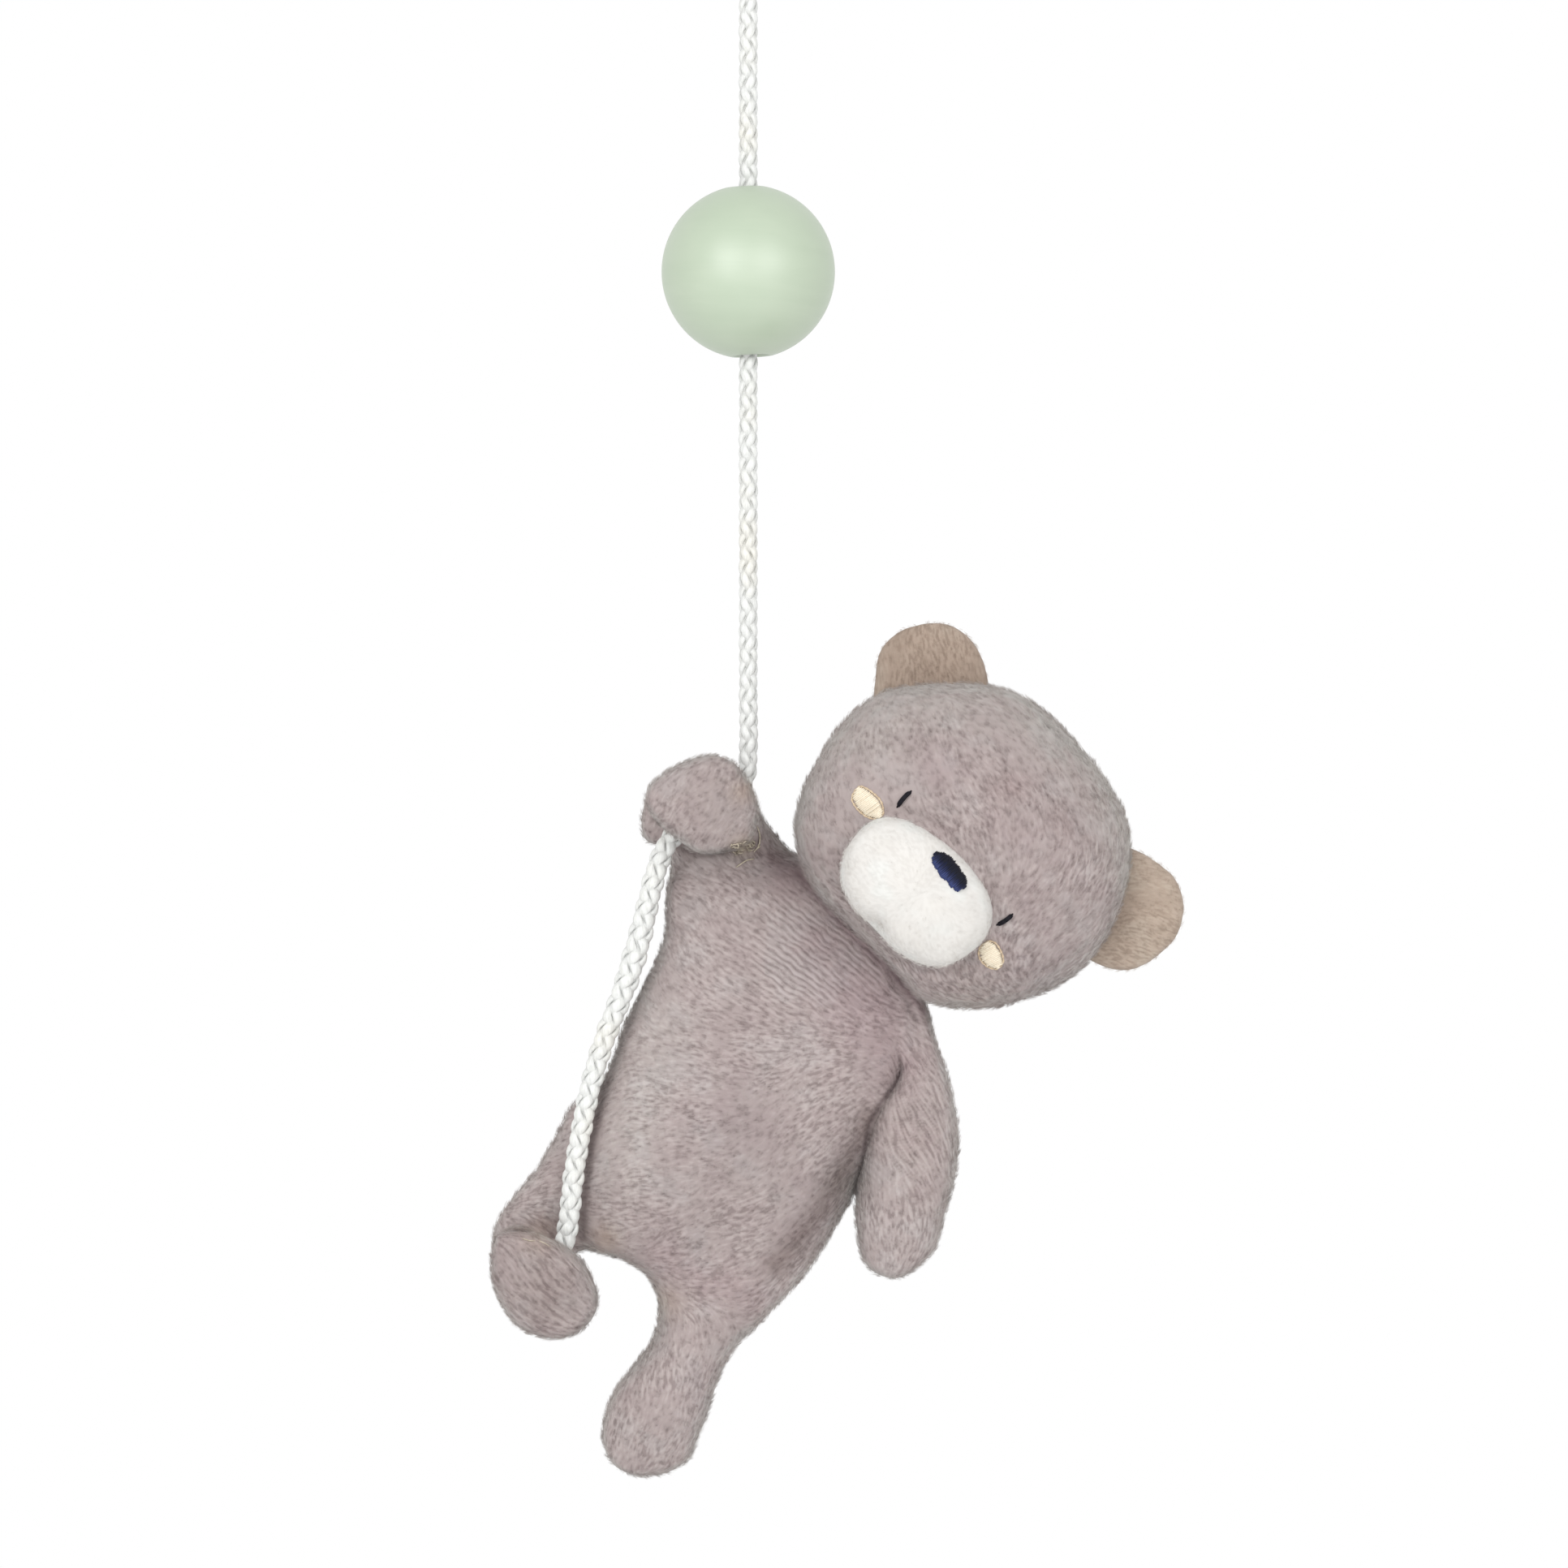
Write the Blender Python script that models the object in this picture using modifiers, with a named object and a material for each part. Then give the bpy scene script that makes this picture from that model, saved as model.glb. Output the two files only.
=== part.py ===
"""Hanging gym toy: a stuffed bear that holds on to a braided cord with a wooden bead.

Metres, +Z up.  The origin is the seat of the hanging loop (the inside of its top),
the cord hangs straight down along -Z, and the bear faces -Y.
Flat shapes are drawn as the front of the toy shows them: millimetres to the right of
the cord's line, and millimetres below the seat of the loop.
"""
import math

import bmesh
import bpy
from mathutils import Matrix, Vector
from mathutils.bvhtree import BVHTree

# ---------------------------------------------------------------- driving dimensions
MM = 0.001
GAP = 0.35                      # clearance between neighbouring pieces

CORD_D = 3.5                    # round braid, 3.5 mm
LOOP_W = 15.0                   # widest inside width of the hanging loop
LOOP_H = 26.0                   # seat of the loop down to the top of its knot
KNOT_D, KNOT_H = 9.0, 10.0
BEAD_D = 30.1
BEAD_BORE = 5.4
BEAD_DOWN = 95.2                # centre of the bead below the seat
BEAD_TILT = 2.5                 # degrees, the loose bead leans on the cord
TWIRL_DOWN = 178.2              # where the cord enters the raised paw

CLOTH = 1.0                     # pile fabric with its backing
TORSO_Y, TORSO_FRONT, TORSO_BACK = 7.0, 12.0, 11.0
HEAD_Y, HEAD_FRONT, HEAD_BACK = -3.0, 21.0, 19.0
ARM_Y, ARM_HALF = 8.2, 5.6      # raised arm, behind the cord
PAW_Y, PAW_HALF = -7.7, 5.2     # its end, folded over in front of the cord
FREE_ARM_Y, FREE_ARM_HALF = 4.5, 7.0
FREE_LEG_Y, FREE_LEG_HALF = 6.0, 7.5
CORD_LEG_Y, CORD_LEG_HALF = 9.0, 6.4
FOOT_Y, FOOT_HALF = -8.0, 5.4   # foot folded over in front of the cord
MUZZLE_Y, MUZZLE_FRONT, MUZZLE_BACK = -19.0, 9.5, 6.0
EAR_LAYER = 1.5                 # one layer of an ear
EAR_Y = -2.0                    # the ears leave the head on its seam

# flat shapes: (right of the cord, below the seat)
TORSO = [(-7.5, 199.6), (-13.0, 201.2), (-14.2, 207.0), (-15.5, 213.5), (-18.9, 222.0),
         (-22.5, 230.5), (-26.4, 237.5), (-29.6, 244.5), (-30.8, 252.0), (-29.8, 260.2),
         (-25.8, 266.4), (-20.6, 269.4), (-16.4, 272.6), (-11.0, 275.0), (-5.0, 277.6),
         (0.6, 279.0), (5.6, 275.4), (11.6, 268.0), (16.2, 260.0), (18.6, 253.0),
         (20.0, 246.0), (22.2, 239.5), (24.2, 232.5), (24.2, 225.0), (21.6, 216.6),
         (16.4, 209.2), (9.6, 203.6), (1.0, 200.6)]
HEAD = [(8.6, 190.0), (11.6, 180.8), (17.0, 173.2), (23.6, 168.6), (32.1, 166.8),
        (41.8, 167.0), (48.8, 169.8), (55.6, 175.6), (62.2, 183.2), (65.9, 191.9),
        (65.6, 201.2), (62.2, 210.4), (56.0, 217.4), (47.8, 221.6), (38.4, 222.8),
        (30.2, 220.8), (24.8, 215.0), (18.0, 208.0), (11.4, 200.6)]
MUZZLE = [(24.1, 189.6), (30.6, 191.0), (36.4, 195.2), (40.6, 200.4), (42.4, 206.4),
          (40.2, 211.9), (34.2, 215.4), (27.7, 213.9), (22.0, 208.9), (17.4, 204.2),
          (16.2, 199.0), (18.8, 192.6)]
RAISED_ARM = [(7.2, 198.0), (7.0, 203.5), (0.5, 205.5), (-6.5, 203.0), (-12.6, 196.6),
              (-17.6, 190.4), (-17.2, 184.8), (-12.6, 180.7), (-7.0, 179.4), (-2.3, 181.2),
              (1.7, 186.3), (4.6, 191.4)]
PAW = [(-17.2, 183.6), (-12.3, 180.0), (-7.0, 179.1), (-2.3, 180.3), (0.8, 184.3),
       (1.9, 189.4), (0.3, 194.0), (-3.8, 196.0), (-8.7, 196.0), (-13.2, 193.4),
       (-16.6, 189.9)]
FREE_ARM = [(29.5, 225.0), (33.0, 228.6), (35.4, 237.0), (36.5, 245.2), (35.5, 252.4),
            (33.8, 259.6), (31.0, 266.4), (25.5, 269.9), (20.8, 267.2), (19.4, 262.0),
            (19.8, 254.5), (21.2, 246.6), (23.0, 240.4), (25.0, 233.0), (25.4, 228.2)]
FREE_LEG = [(-16.2, 275.6), (-17.6, 280.1), (-20.6, 283.9), (-23.6, 287.6), (-25.2, 292.5),
            (-25.4, 299.0), (-22.2, 303.6), (-16.6, 304.8), (-11.0, 302.5), (-8.4, 297.6),
            (-6.2, 292.0), (-4.4, 286.4), (-0.6, 282.0), (-5.6, 279.4), (-11.0, 277.2)]
CORD_LEG = [(-28.0, 242.5), (-33.2, 247.2), (-38.0, 251.2), (-42.8, 256.3), (-45.0, 263.6),
            (-43.5, 270.8), (-38.0, 273.1), (-33.2, 269.4), (-28.6, 264.0), (-25.5, 256.0),
            (-25.0, 248.0)]
FOOT = [(-43.2, 260.6), (-37.5, 260.8), (-33.0, 262.9), (-28.9, 265.6), (-26.6, 269.6),
        (-25.9, 273.4), (-27.6, 277.2), (-31.4, 280.0), (-36.2, 280.0), (-40.8, 277.4),
        (-43.6, 272.4), (-44.5, 266.0)]
UPPER_EAR = [(22.6, 168.0), (22.8, 161.8), (24.8, 157.7), (28.6, 156.0), (36.2, 156.0),
             (40.6, 157.8), (42.4, 162.0), (42.3, 166.0), (32.2, 166.0)]
LOWER_EAR = [(66.9, 194.8), (71.0, 196.8), (75.0, 200.8), (75.9, 205.8), (74.4, 210.4),
             (71.2, 214.0), (67.2, 216.4), (60.2, 214.6), (64.2, 207.6), (66.5, 200.8)]

# the lower stretch of cord: (right, depth, down)
LOWER_CORD = [(0.0, 0.0, 178.7), (-0.4, 0.0, 182.6), (-3.0, 0.0, 186.6), (-7.2, 0.0, 189.3),
              (-11.3, 0.0, 191.5), (-14.1, 0.0, 194.8), (-15.7, 0.0, 199.2),
              (-17.3, 0.0, 206.0), (-19.8, 0.0, 213.8), (-22.1, 0.0, 220.2),
              (-24.4, 0.0, 226.9), (-26.3, 0.0, 233.2), (-28.0, 0.0, 239.7),
              (-29.3, 0.0, 246.0), (-30.4, -0.2, 252.0), (-31.3, -0.4, 258.4),
              (-31.8, -0.3, 264.0), (-31.9, -0.2, 268.6)]

# joint places and directions (right, depth, down)
NECK = (17.6, 1.0, 209.2)       # hinge line along (0.644, 0, -0.765)
SHOULDER = (29.2, 4.5, 229.4)   # hinge line along Y
HIP = (-8.2, 6.0, 277.2)        # hinge line along (0.92, 0, -0.39)
HIP_DOWN = Vector((-0.39, 0.0, -0.92))
UPPER_EAR_BASE = (32.4, EAR_Y, 166.8)   # hinge line along (0.995, 0, 0.1)
LOWER_EAR_BASE = (63.8, EAR_Y, 206.2)   # hinge line along (0.325, 0, 0.946)


# ---------------------------------------------------------------- start from nothing
for old in list(bpy.data.objects):
    bpy.data.objects.remove(old, do_unlink=True)

toy = bpy.data.collections.new("hanging_bear_toy")
cutters = bpy.data.collections.new("cutters")
bpy.context.scene.collection.children.link(toy)
bpy.context.scene.collection.children.link(cutters)


def material(name, rgb, roughness, metallic=0.0):
    mat = bpy.data.materials.new(name)
    mat.use_nodes = True
    shader = mat.node_tree.nodes["Principled BSDF"]
    shader.inputs["Base Color"].default_value = (*rgb, 1.0)
    shader.inputs["Roughness"].default_value = roughness
    shader.inputs["Metallic"].default_value = metallic
    return mat


def own_material(obj, kind):
    rgb, roughness = {
        "plush": ((0.42, 0.37, 0.35), 0.95),
        "ear": ((0.45, 0.35, 0.27), 0.95),
        "muzzle": ((0.88, 0.87, 0.83), 0.95),
        "filling": ((0.93, 0.93, 0.92), 1.0),
        "navy": ((0.02, 0.03, 0.09), 0.6),
        "cream": ((0.90, 0.78, 0.58), 0.6),
        "tan": ((0.55, 0.45, 0.33), 0.7),
        "cord": ((0.86, 0.87, 0.86), 0.5),
        "paint": ((0.64, 0.76, 0.64), 0.45),
    }[kind]
    obj.data.materials.clear()
    obj.data.materials.append(material(obj.name, rgb, roughness))


def point(right, depth, down):
    return Vector((right * MM, depth * MM, -down * MM))


# ---------------------------------------------------------------- drawing helpers
def spline_at(points, closed, t):
    """A point at t on the smooth curve through the points; t counts points."""
    n = len(points)
    i = int(math.floor(t))
    u = t - i
    if closed:
        p = [points[(i + k) % n] for k in (-1, 0, 1, 2)]
    else:
        p = [points[min(max(i + k, 0), n - 1)] for k in (-1, 0, 1, 2)]
    return 0.5 * (2 * p[1] + (p[2] - p[0]) * u
                  + (2 * p[0] - 5 * p[1] + 4 * p[2] - p[3]) * u * u
                  + (3 * p[1] - p[0] - 3 * p[2] + p[3]) * u ** 3)


def even_points(points, closed, count):
    """Points at equal steps along the smooth curve."""
    last = len(points) if closed else len(points) - 1
    fine = [spline_at(points, closed, last * k / 600) for k in range(601)]
    run = [0.0]
    for a, b in zip(fine, fine[1:]):
        run.append(run[-1] + (b - a).length)
    steps = count if closed else count - 1
    out, j = [], 0
    for k in range(count):
        want = run[-1] * k / steps
        while j < 599 and run[j + 1] < want:
            j += 1
        f = (want - run[j]) / max(run[j + 1] - run[j], 1e-12)
        out.append(fine[j].lerp(fine[j + 1], min(max(f, 0.0), 1.0)))
    return out


def flat_points(outline, count, inset=0.0):
    """The outline as `count` even points in the XZ plane, moved in by `inset` mm."""
    drawn = [Vector((x * MM, 0.0, -d * MM)) for x, d in outline]
    turn = sum(a.x * b.z - b.x * a.z for a, b in zip(drawn, drawn[1:] + drawn[:1]))
    if turn > 0:
        drawn.reverse()                                     # always clockwise
    pts = even_points(drawn, True, count)
    if inset:
        moved = []
        for k, p in enumerate(pts):
            along = (pts[(k + 1) % count] - pts[k - 1]).normalized()
            inward = Vector((along.z, 0.0, -along.x))
            moved.append(p + inward * inset * MM)
        pts = moved
    return pts


def cage_around(points):
    """Control points whose subdivided curve passes through the given points."""
    cage = [p.copy() for p in points]
    n = len(points)
    for _ in range(12):
        seen = [(cage[k - 1] + 6 * cage[k] + cage[(k + 1) % n]) / 8 for k in range(n)]
        cage = [c + (p - s) for c, p, s in zip(cage, points, seen)]
    return cage


def mesh_object(name, mesh, collection=None):
    obj = bpy.data.objects.new(name, mesh)
    (collection or toy).objects.link(obj)
    return obj


def evaluated(obj):
    graph = bpy.context.evaluated_depsgraph_get()
    return bpy.data.meshes.new_from_object(obj.evaluated_get(graph))


def soft_form(name, outline, y_mid, front, back, around=12, rings=6, inset=0.0, levels=1,
              collection=None):
    """A stuffed form: a sphere whose equator is the flat outline."""
    pts = flat_points(outline, around, inset)
    if levels:
        pts = cage_around(pts)
    swell = 1.0 if not levels else 8.0 / (6.0 + 2.0 * math.cos(math.pi / rings))
    middle = sum(pts, Vector()) / around
    bm = bmesh.new()
    bmesh.ops.create_uvsphere(bm, u_segments=around, v_segments=rings, radius=1.0)
    for v in bm.verts:
        k = round(math.atan2(v.co.y, v.co.x) / math.tau * around) % around
        out = math.hypot(v.co.x, v.co.y)
        reach = out ** 0.85
        side = middle + (pts[k] - middle) * reach if out > 1e-6 else middle.copy()
        lift = abs(v.co.z) ** 0.92
        deep = -(front - inset) * lift if v.co.z > 0 else (back - inset) * lift
        side.y = (y_mid + deep * swell) * MM
        v.co = side
    bm.normal_update()
    bmesh.ops.recalc_face_normals(bm, faces=bm.faces)
    mesh = bpy.data.meshes.new(name)
    bm.to_mesh(mesh)
    bm.free()
    obj = mesh_object(name, mesh, collection)
    if levels:
        sub = obj.modifiers.new("soft", "SUBSURF")
        sub.levels = sub.render_levels = levels
    return obj


def replace_mesh(obj, mesh):
    old = obj.data
    obj.modifiers.clear()
    obj.data = mesh
    bpy.data.meshes.remove(old)


def cut_through(obj, co, no, cap):
    """Keep the side of the plane that `no` points away from."""
    mesh = evaluated(obj)
    bm = bmesh.new()
    bm.from_mesh(mesh)
    cut = bmesh.ops.bisect_plane(bm, geom=bm.verts[:] + bm.edges[:] + bm.faces[:],
                                 plane_co=co, plane_no=no, clear_outer=True, dist=1e-7)
    if cap:
        edges = [g for g in cut["geom_cut"] if isinstance(g, bmesh.types.BMEdge)]
        bmesh.ops.contextual_create(bm, geom=edges)
        bmesh.ops.recalc_face_normals(bm, faces=bm.faces)
    bm.to_mesh(mesh)
    bm.free()
    replace_mesh(obj, mesh)


def cloth_shell(obj, co, no):
    """An open skin of pile fabric, cut off at the plane and thickened inwards."""
    cut_through(obj, co, no, cap=False)
    skin = obj.modifiers.new("cloth", "SOLIDIFY")
    skin.thickness = CLOTH * MM
    skin.offset = -1.0
    skin.use_even_offset = False
    return obj


def tube(name, points, diameter, collection=None):
    """A round cord or thread along the points, with filled ends."""
    data = bpy.data.curves.new(name, "CURVE")
    data.dimensions = "3D"
    data.bevel_depth = diameter * MM / 2
    data.bevel_resolution = 2
    data.use_fill_caps = True
    data.twist_mode = "MINIMUM"
    line = data.splines.new("POLY")
    line.points.add(len(points) - 1)
    for spot, p in zip(line.points, points):
        spot.co = (*p, 1.0)
    obj = bpy.data.objects.new(name, data)
    (collection or toy).objects.link(obj)
    return obj


def subtract(obj, cutter):
    cut = obj.modifiers.new("trim_" + cutter.name, "BOOLEAN")
    cut.operation = "DIFFERENCE"
    cut.solver = "EXACT"
    cut.object = cutter


def apply_all(obj):
    replace_mesh(obj, evaluated(obj))


def as_cutter(obj):
    obj.hide_render = True
    obj.display_type = "WIRE"


def pivot(name, place, parent=None):
    """An empty on a joint's axis."""
    empty = bpy.data.objects.new(name, None)
    empty.empty_display_size = 0.01
    toy.objects.link(empty)
    world = point(*place)
    empty.location = world
    if parent is not None:
        empty.parent = parent
        empty.location = world - world_of[parent.name]
    world_of[name] = world
    return empty


def hang_on(obj, empty):
    """The piece takes its joint's place as its origin, and follows the empty."""
    obj.data.transform(Matrix.Translation(-world_of[empty.name]))
    obj.parent = empty
    obj.location = (0.0, 0.0, 0.0)


world_of = {}
loop_seat = pivot("loop_seat", (0.0, 0.0, 0.0))
fore_pivot = pivot("fore_pivot", (0.0, 0.0, LOOP_H), loop_seat)
side_pivot = pivot("side_pivot", (0.0, 0.0, LOOP_H + KNOT_H), fore_pivot)
bead_pivot = pivot("bead_pivot", (0.0, 0.0, BEAD_DOWN), side_pivot)
twirl_pivot = pivot("twirl_pivot", (0.0, 0.0, TWIRL_DOWN), side_pivot)
neck_pivot = pivot("neck_pivot", NECK, twirl_pivot)
shoulder_pivot = pivot("shoulder_pivot", SHOULDER, twirl_pivot)
hip_pivot = pivot("hip_pivot", HIP, twirl_pivot)
upper_ear_pivot = pivot("upper_ear_pivot", UPPER_EAR_BASE, neck_pivot)
lower_ear_pivot = pivot("lower_ear_pivot", LOWER_EAR_BASE, neck_pivot)


# ---------------------------------------------------------------- loop, knot and cord
half = LOOP_W / 2 + CORD_D / 2
seat = -CORD_D / 2              # the cord's middle line passes above the seat
loop_route = [(-2.1, 0.0, LOOP_H - GAP), (-2.6, 0.0, LOOP_H - 4.0), (-6.0, 0.0, LOOP_H - 9.5),
              (-half, 0.0, 9.5), (-half * 0.80, 0.0, 3.4), (-half * 0.38, 0.0, seat + 0.55),
              (0.0, 0.0, seat),
              (half * 0.38, 0.0, seat + 0.55), (half * 0.80, 0.0, 3.4), (half, 0.0, 9.5),
              (6.0, 0.0, LOOP_H - 9.5), (2.6, 0.0, LOOP_H - 4.0), (2.1, 0.0, LOOP_H - GAP)]
hanging_loop = tube("hanging_loop",
                    even_points([point(*p) for p in loop_route], False, 19), CORD_D)
own_material(hanging_loop, "cord")
hang_on(hanging_loop, loop_seat)

bm = bmesh.new()
bmesh.ops.create_uvsphere(bm, u_segments=14, v_segments=8, radius=1.0)
for v in bm.verts:
    v.co = Vector((v.co.x * KNOT_D / 2, v.co.y * KNOT_D / 2 * 0.9, v.co.z * KNOT_H / 2)) * MM
    v.co += point(0.0, 0.0, LOOP_H + KNOT_H / 2)
mesh = bpy.data.meshes.new("loop_knot")
bm.to_mesh(mesh)
bm.free()
loop_knot = mesh_object("loop_knot", mesh)
loop_knot.data.shade_smooth()
own_material(loop_knot, "cord")
hang_on(loop_knot, fore_pivot)

top, bottom = LOOP_H + KNOT_H + GAP, TWIRL_DOWN - 0.4
cord_upper = tube("cord_upper",
                  [point(0.0, 0.0, top + (bottom - top) * k / 15) for k in range(16)], CORD_D)
own_material(cord_upper, "cord")
hang_on(cord_upper, side_pivot)

lower_line = even_points([point(*p) for p in LOWER_CORD], False, 15)
cord_lower = tube("cord_lower", lower_line, CORD_D)
own_material(cord_lower, "cord")
hang_on(cord_lower, twirl_pivot)

# ---------------------------------------------------------------- the turned bead
radius, bore = BEAD_D / 2, BEAD_BORE / 2
rim = math.acos((bore + 0.5) / radius)
profile = [(bore + 0.5, radius * math.sin(rim))]
for k in range(1, 12):
    a = rim - 2 * rim * k / 12
    profile.append((radius * math.cos(a), radius * math.sin(a)))
profile.append((bore + 0.5, -radius * math.sin(rim)))
profile.append((bore, -radius * math.sin(rim) + 0.5))
profile.append((bore, radius * math.sin(rim) - 0.5))
mesh = bpy.data.meshes.new("wood_bead")
bm = bmesh.new()
ring = [bm.verts.new((r * MM, 0.0, z * MM)) for r, z in profile]
for k in range(len(ring)):
    bm.edges.new((ring[k], ring[(k + 1) % len(ring)]))
bm.to_mesh(mesh)
bm.free()
wood_bead = mesh_object("wood_bead", mesh)
turn = wood_bead.modifiers.new("turned", "SCREW")
turn.axis = "Z"
turn.steps = turn.render_steps = 22
turn.use_merge_vertices = True
turn.merge_threshold = 0.00001
apply_all(wood_bead)
wood_bead.data.transform(Matrix.Rotation(math.radians(-BEAD_TILT), 4, "Y"))
wood_bead.data.transform(Matrix.Translation(point(0.0, 0.0, BEAD_DOWN)))
bm = bmesh.new()
bm.from_mesh(wood_bead.data)
bmesh.ops.recalc_face_normals(bm, faces=bm.faces)
bm.to_mesh(wood_bead.data)
bm.free()
wood_bead.data.shade_smooth()
own_material(wood_bead, "paint")
hang_on(wood_bead, bead_pivot)

# ---------------------------------------------------------------- the two stuffed halves
FRONT, BACK = Vector((0.0, -1.0, 0.0)), Vector((0.0, 1.0, 0.0))


def stuffed_pair(stem, outline, y_mid, front, back, around, rings, empty, kind="plush"):
    """Front and back panels that meet at the seam, and the filling inside them."""
    seam = Vector((0.0, y_mid * MM, 0.0))
    step = Vector((0.0, 1.4 * GAP * MM, 0.0))   # pile and stitches keep the edges apart
    front_panel = soft_form(stem + "_front_panel", outline, y_mid, front, back, around, rings)
    cloth_shell(front_panel, seam - step, BACK)
    back_panel = soft_form(stem + "_back_panel", outline, y_mid, front, back, around, rings)
    cloth_shell(back_panel, seam + step, FRONT)
    filling = soft_form(stem + "_filling", outline, y_mid, front, back, around, rings,
                        inset=CLOTH + 2.6, levels=0)
    for obj, look in ((front_panel, kind), (back_panel, kind), (filling, "filling")):
        obj.data.shade_smooth()
        own_material(obj, look)
        hang_on(obj, empty)


stuffed_pair("torso", TORSO, TORSO_Y, TORSO_FRONT, TORSO_BACK, 18, 6, twirl_pivot)
stuffed_pair("head", HEAD, HEAD_Y, HEAD_FRONT, HEAD_BACK, 16, 8, neck_pivot)


# ---------------------------------------------------------------- sleeves of the limbs
torso_surface = soft_form("torso_surface", TORSO, TORSO_Y, TORSO_FRONT, TORSO_BACK, 18, 6,
                          inset=-GAP, collection=cutters)
as_cutter(torso_surface)


def stuffed_limb(stem, outline, y_mid, half_depth, mouth, away, empty, around=10, sewn=False):
    """A sock of pile fabric, open at `mouth` where it is sewn on, and its filling.

    A limb that is sewn to the torso follows the torso's surface there.
    """
    cover = soft_form(stem + "_cover", outline, y_mid, half_depth, half_depth, around, 6)
    cloth_shell(cover, point(*mouth), away)
    filling = soft_form(stem + "_filling", outline, y_mid, half_depth, half_depth, around, 6,
                        inset=CLOTH + 2.3, levels=0)
    cut_through(filling, point(*mouth) - away.normalized() * 0.4 * MM, away, cap=True)
    if sewn:
        for obj in (cover, filling):
            subtract(obj, torso_surface)
            apply_all(obj)
    for obj, look in ((cover, "plush"), (filling, "filling")):
        obj.data.shade_smooth()
        own_material(obj, look)
        hang_on(obj, empty)


stuffed_limb("raised_arm", RAISED_ARM, ARM_Y, ARM_HALF, (0.6, ARM_Y, 203.6),
             Vector((0.25, 0.0, -0.97)), twirl_pivot, around=12, sewn=True)
stuffed_limb("raised_paw", PAW, PAW_Y, PAW_HALF, (-7.5, PAW_Y, 180.9),
             Vector((0.0, 0.0, 1.0)), twirl_pivot)
stuffed_limb("free_arm", FREE_ARM, FREE_ARM_Y, FREE_ARM_HALF, (29.3, FREE_ARM_Y, 227.0),
             Vector((0.0, 0.0, 1.0)), shoulder_pivot, around=12)
stuffed_limb("free_leg", FREE_LEG, FREE_LEG_Y, FREE_LEG_HALF,
             tuple(v / MM * s for v, s in zip(point(*HIP) + HIP_DOWN * 1.6 * MM, (1, 1, -1))),
             -HIP_DOWN, hip_pivot, around=12)
stuffed_limb("cord_leg", CORD_LEG, CORD_LEG_Y, CORD_LEG_HALF, (-26.6, CORD_LEG_Y, 253.0),
             Vector((1.0, 0.0, 0.1)), twirl_pivot, around=12, sewn=True)
stuffed_limb("cord_foot", FOOT, FOOT_Y, FOOT_HALF, (-42.6, FOOT_Y, 264.6),
             Vector((-1.0, 0.0, 0.35)), twirl_pivot)

# ---------------------------------------------------------------- face
head_surface = soft_form("head_surface", HEAD, HEAD_Y, HEAD_FRONT, HEAD_BACK, 16, 8,
                         inset=-GAP, collection=cutters)
as_cutter(head_surface)
muzzle_surface = soft_form("muzzle_surface", MUZZLE, MUZZLE_Y, MUZZLE_FRONT, MUZZLE_BACK,
                           12, 6, inset=-GAP, collection=cutters)
as_cutter(muzzle_surface)
muzzle_core = soft_form("muzzle_core", MUZZLE, MUZZLE_Y, MUZZLE_FRONT, MUZZLE_BACK + 2.0,
                        12, 6, inset=CLOTH, collection=cutters)
as_cutter(muzzle_core)

muzzle_patch = soft_form("muzzle_patch", MUZZLE, MUZZLE_Y, MUZZLE_FRONT, MUZZLE_BACK, 12, 6)
subtract(muzzle_patch, head_surface)
subtract(muzzle_patch, muzzle_core)
muzzle_filling = soft_form("muzzle_filling", MUZZLE, MUZZLE_Y, MUZZLE_FRONT, MUZZLE_BACK,
                           12, 6, inset=CLOTH + 1.3, levels=0)
subtract(muzzle_filling, head_surface)
for obj, look in ((muzzle_patch, "muzzle"), (muzzle_filling, "filling")):
    apply_all(obj)
    obj.data.shade_smooth()
    own_material(obj, look)
    hang_on(obj, neck_pivot)


def embroidered(name, right, down, length, width, turn_deg, proud, base, kind):
    """A raised oval of satin stitch, lying on the curved face."""
    skin = evaluated(base)
    bm = bmesh.new()
    bm.from_mesh(skin)
    tree = BVHTree.FromBMesh(bm)
    bm.free()
    bpy.data.meshes.remove(skin)
    hit, normal, _, _ = tree.ray_cast(point(right, -80.0, down), Vector((0.0, 1.0, 0.0)))
    bm = bmesh.new()
    bmesh.ops.create_uvsphere(bm, u_segments=14, v_segments=8, radius=1.0)
    for v in bm.verts:
        v.co = Vector((v.co.x * length / 2, v.co.y * width / 2, v.co.z * proud)) * MM
    mesh = bpy.data.meshes.new(name)
    bm.to_mesh(mesh)
    bm.free()
    # length runs along the given direction of the front view, thickness along the normal
    a = math.radians(turn_deg)
    along = Vector((math.cos(a), 0.0, -math.sin(a)))
    along = (along - normal * along.dot(normal)).normalized()
    across = normal.cross(along)
    frame = Matrix((along, across, normal)).transposed().to_4x4()
    mesh.transform(Matrix.Translation(hit) @ frame)
    obj = mesh_object(name, mesh)
    subtract(obj, head_surface)
    if base is not head_surface:
        subtract(obj, base)
    apply_all(obj)
    obj.data.shade_smooth()
    own_material(obj, kind)
    hang_on(obj, neck_pivot)
    return obj


EAR_LINE = 49.9                 # degrees below the horizontal, ear to ear
embroidered("nose_stitching", 35.1, 199.3, 8.4, 4.4, EAR_LINE, 1.1, muzzle_surface, "navy")
embroidered("upper_cheek_patch", 21.0, 187.3, 7.0, 4.1, 52.0, 0.8, head_surface, "cream")
embroidered("lower_cheek_patch", 42.9, 214.6, 5.6, 3.9, 62.0, 0.8, head_surface, "cream")
embroidered("upper_eye_stitches", 26.9, 186.7, 4.4, 1.2, -50.0, 0.5, head_surface, "navy")
embroidered("lower_eye_stitches", 44.4, 207.4, 4.0, 1.2, -32.0, 0.5, head_surface, "navy")


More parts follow.
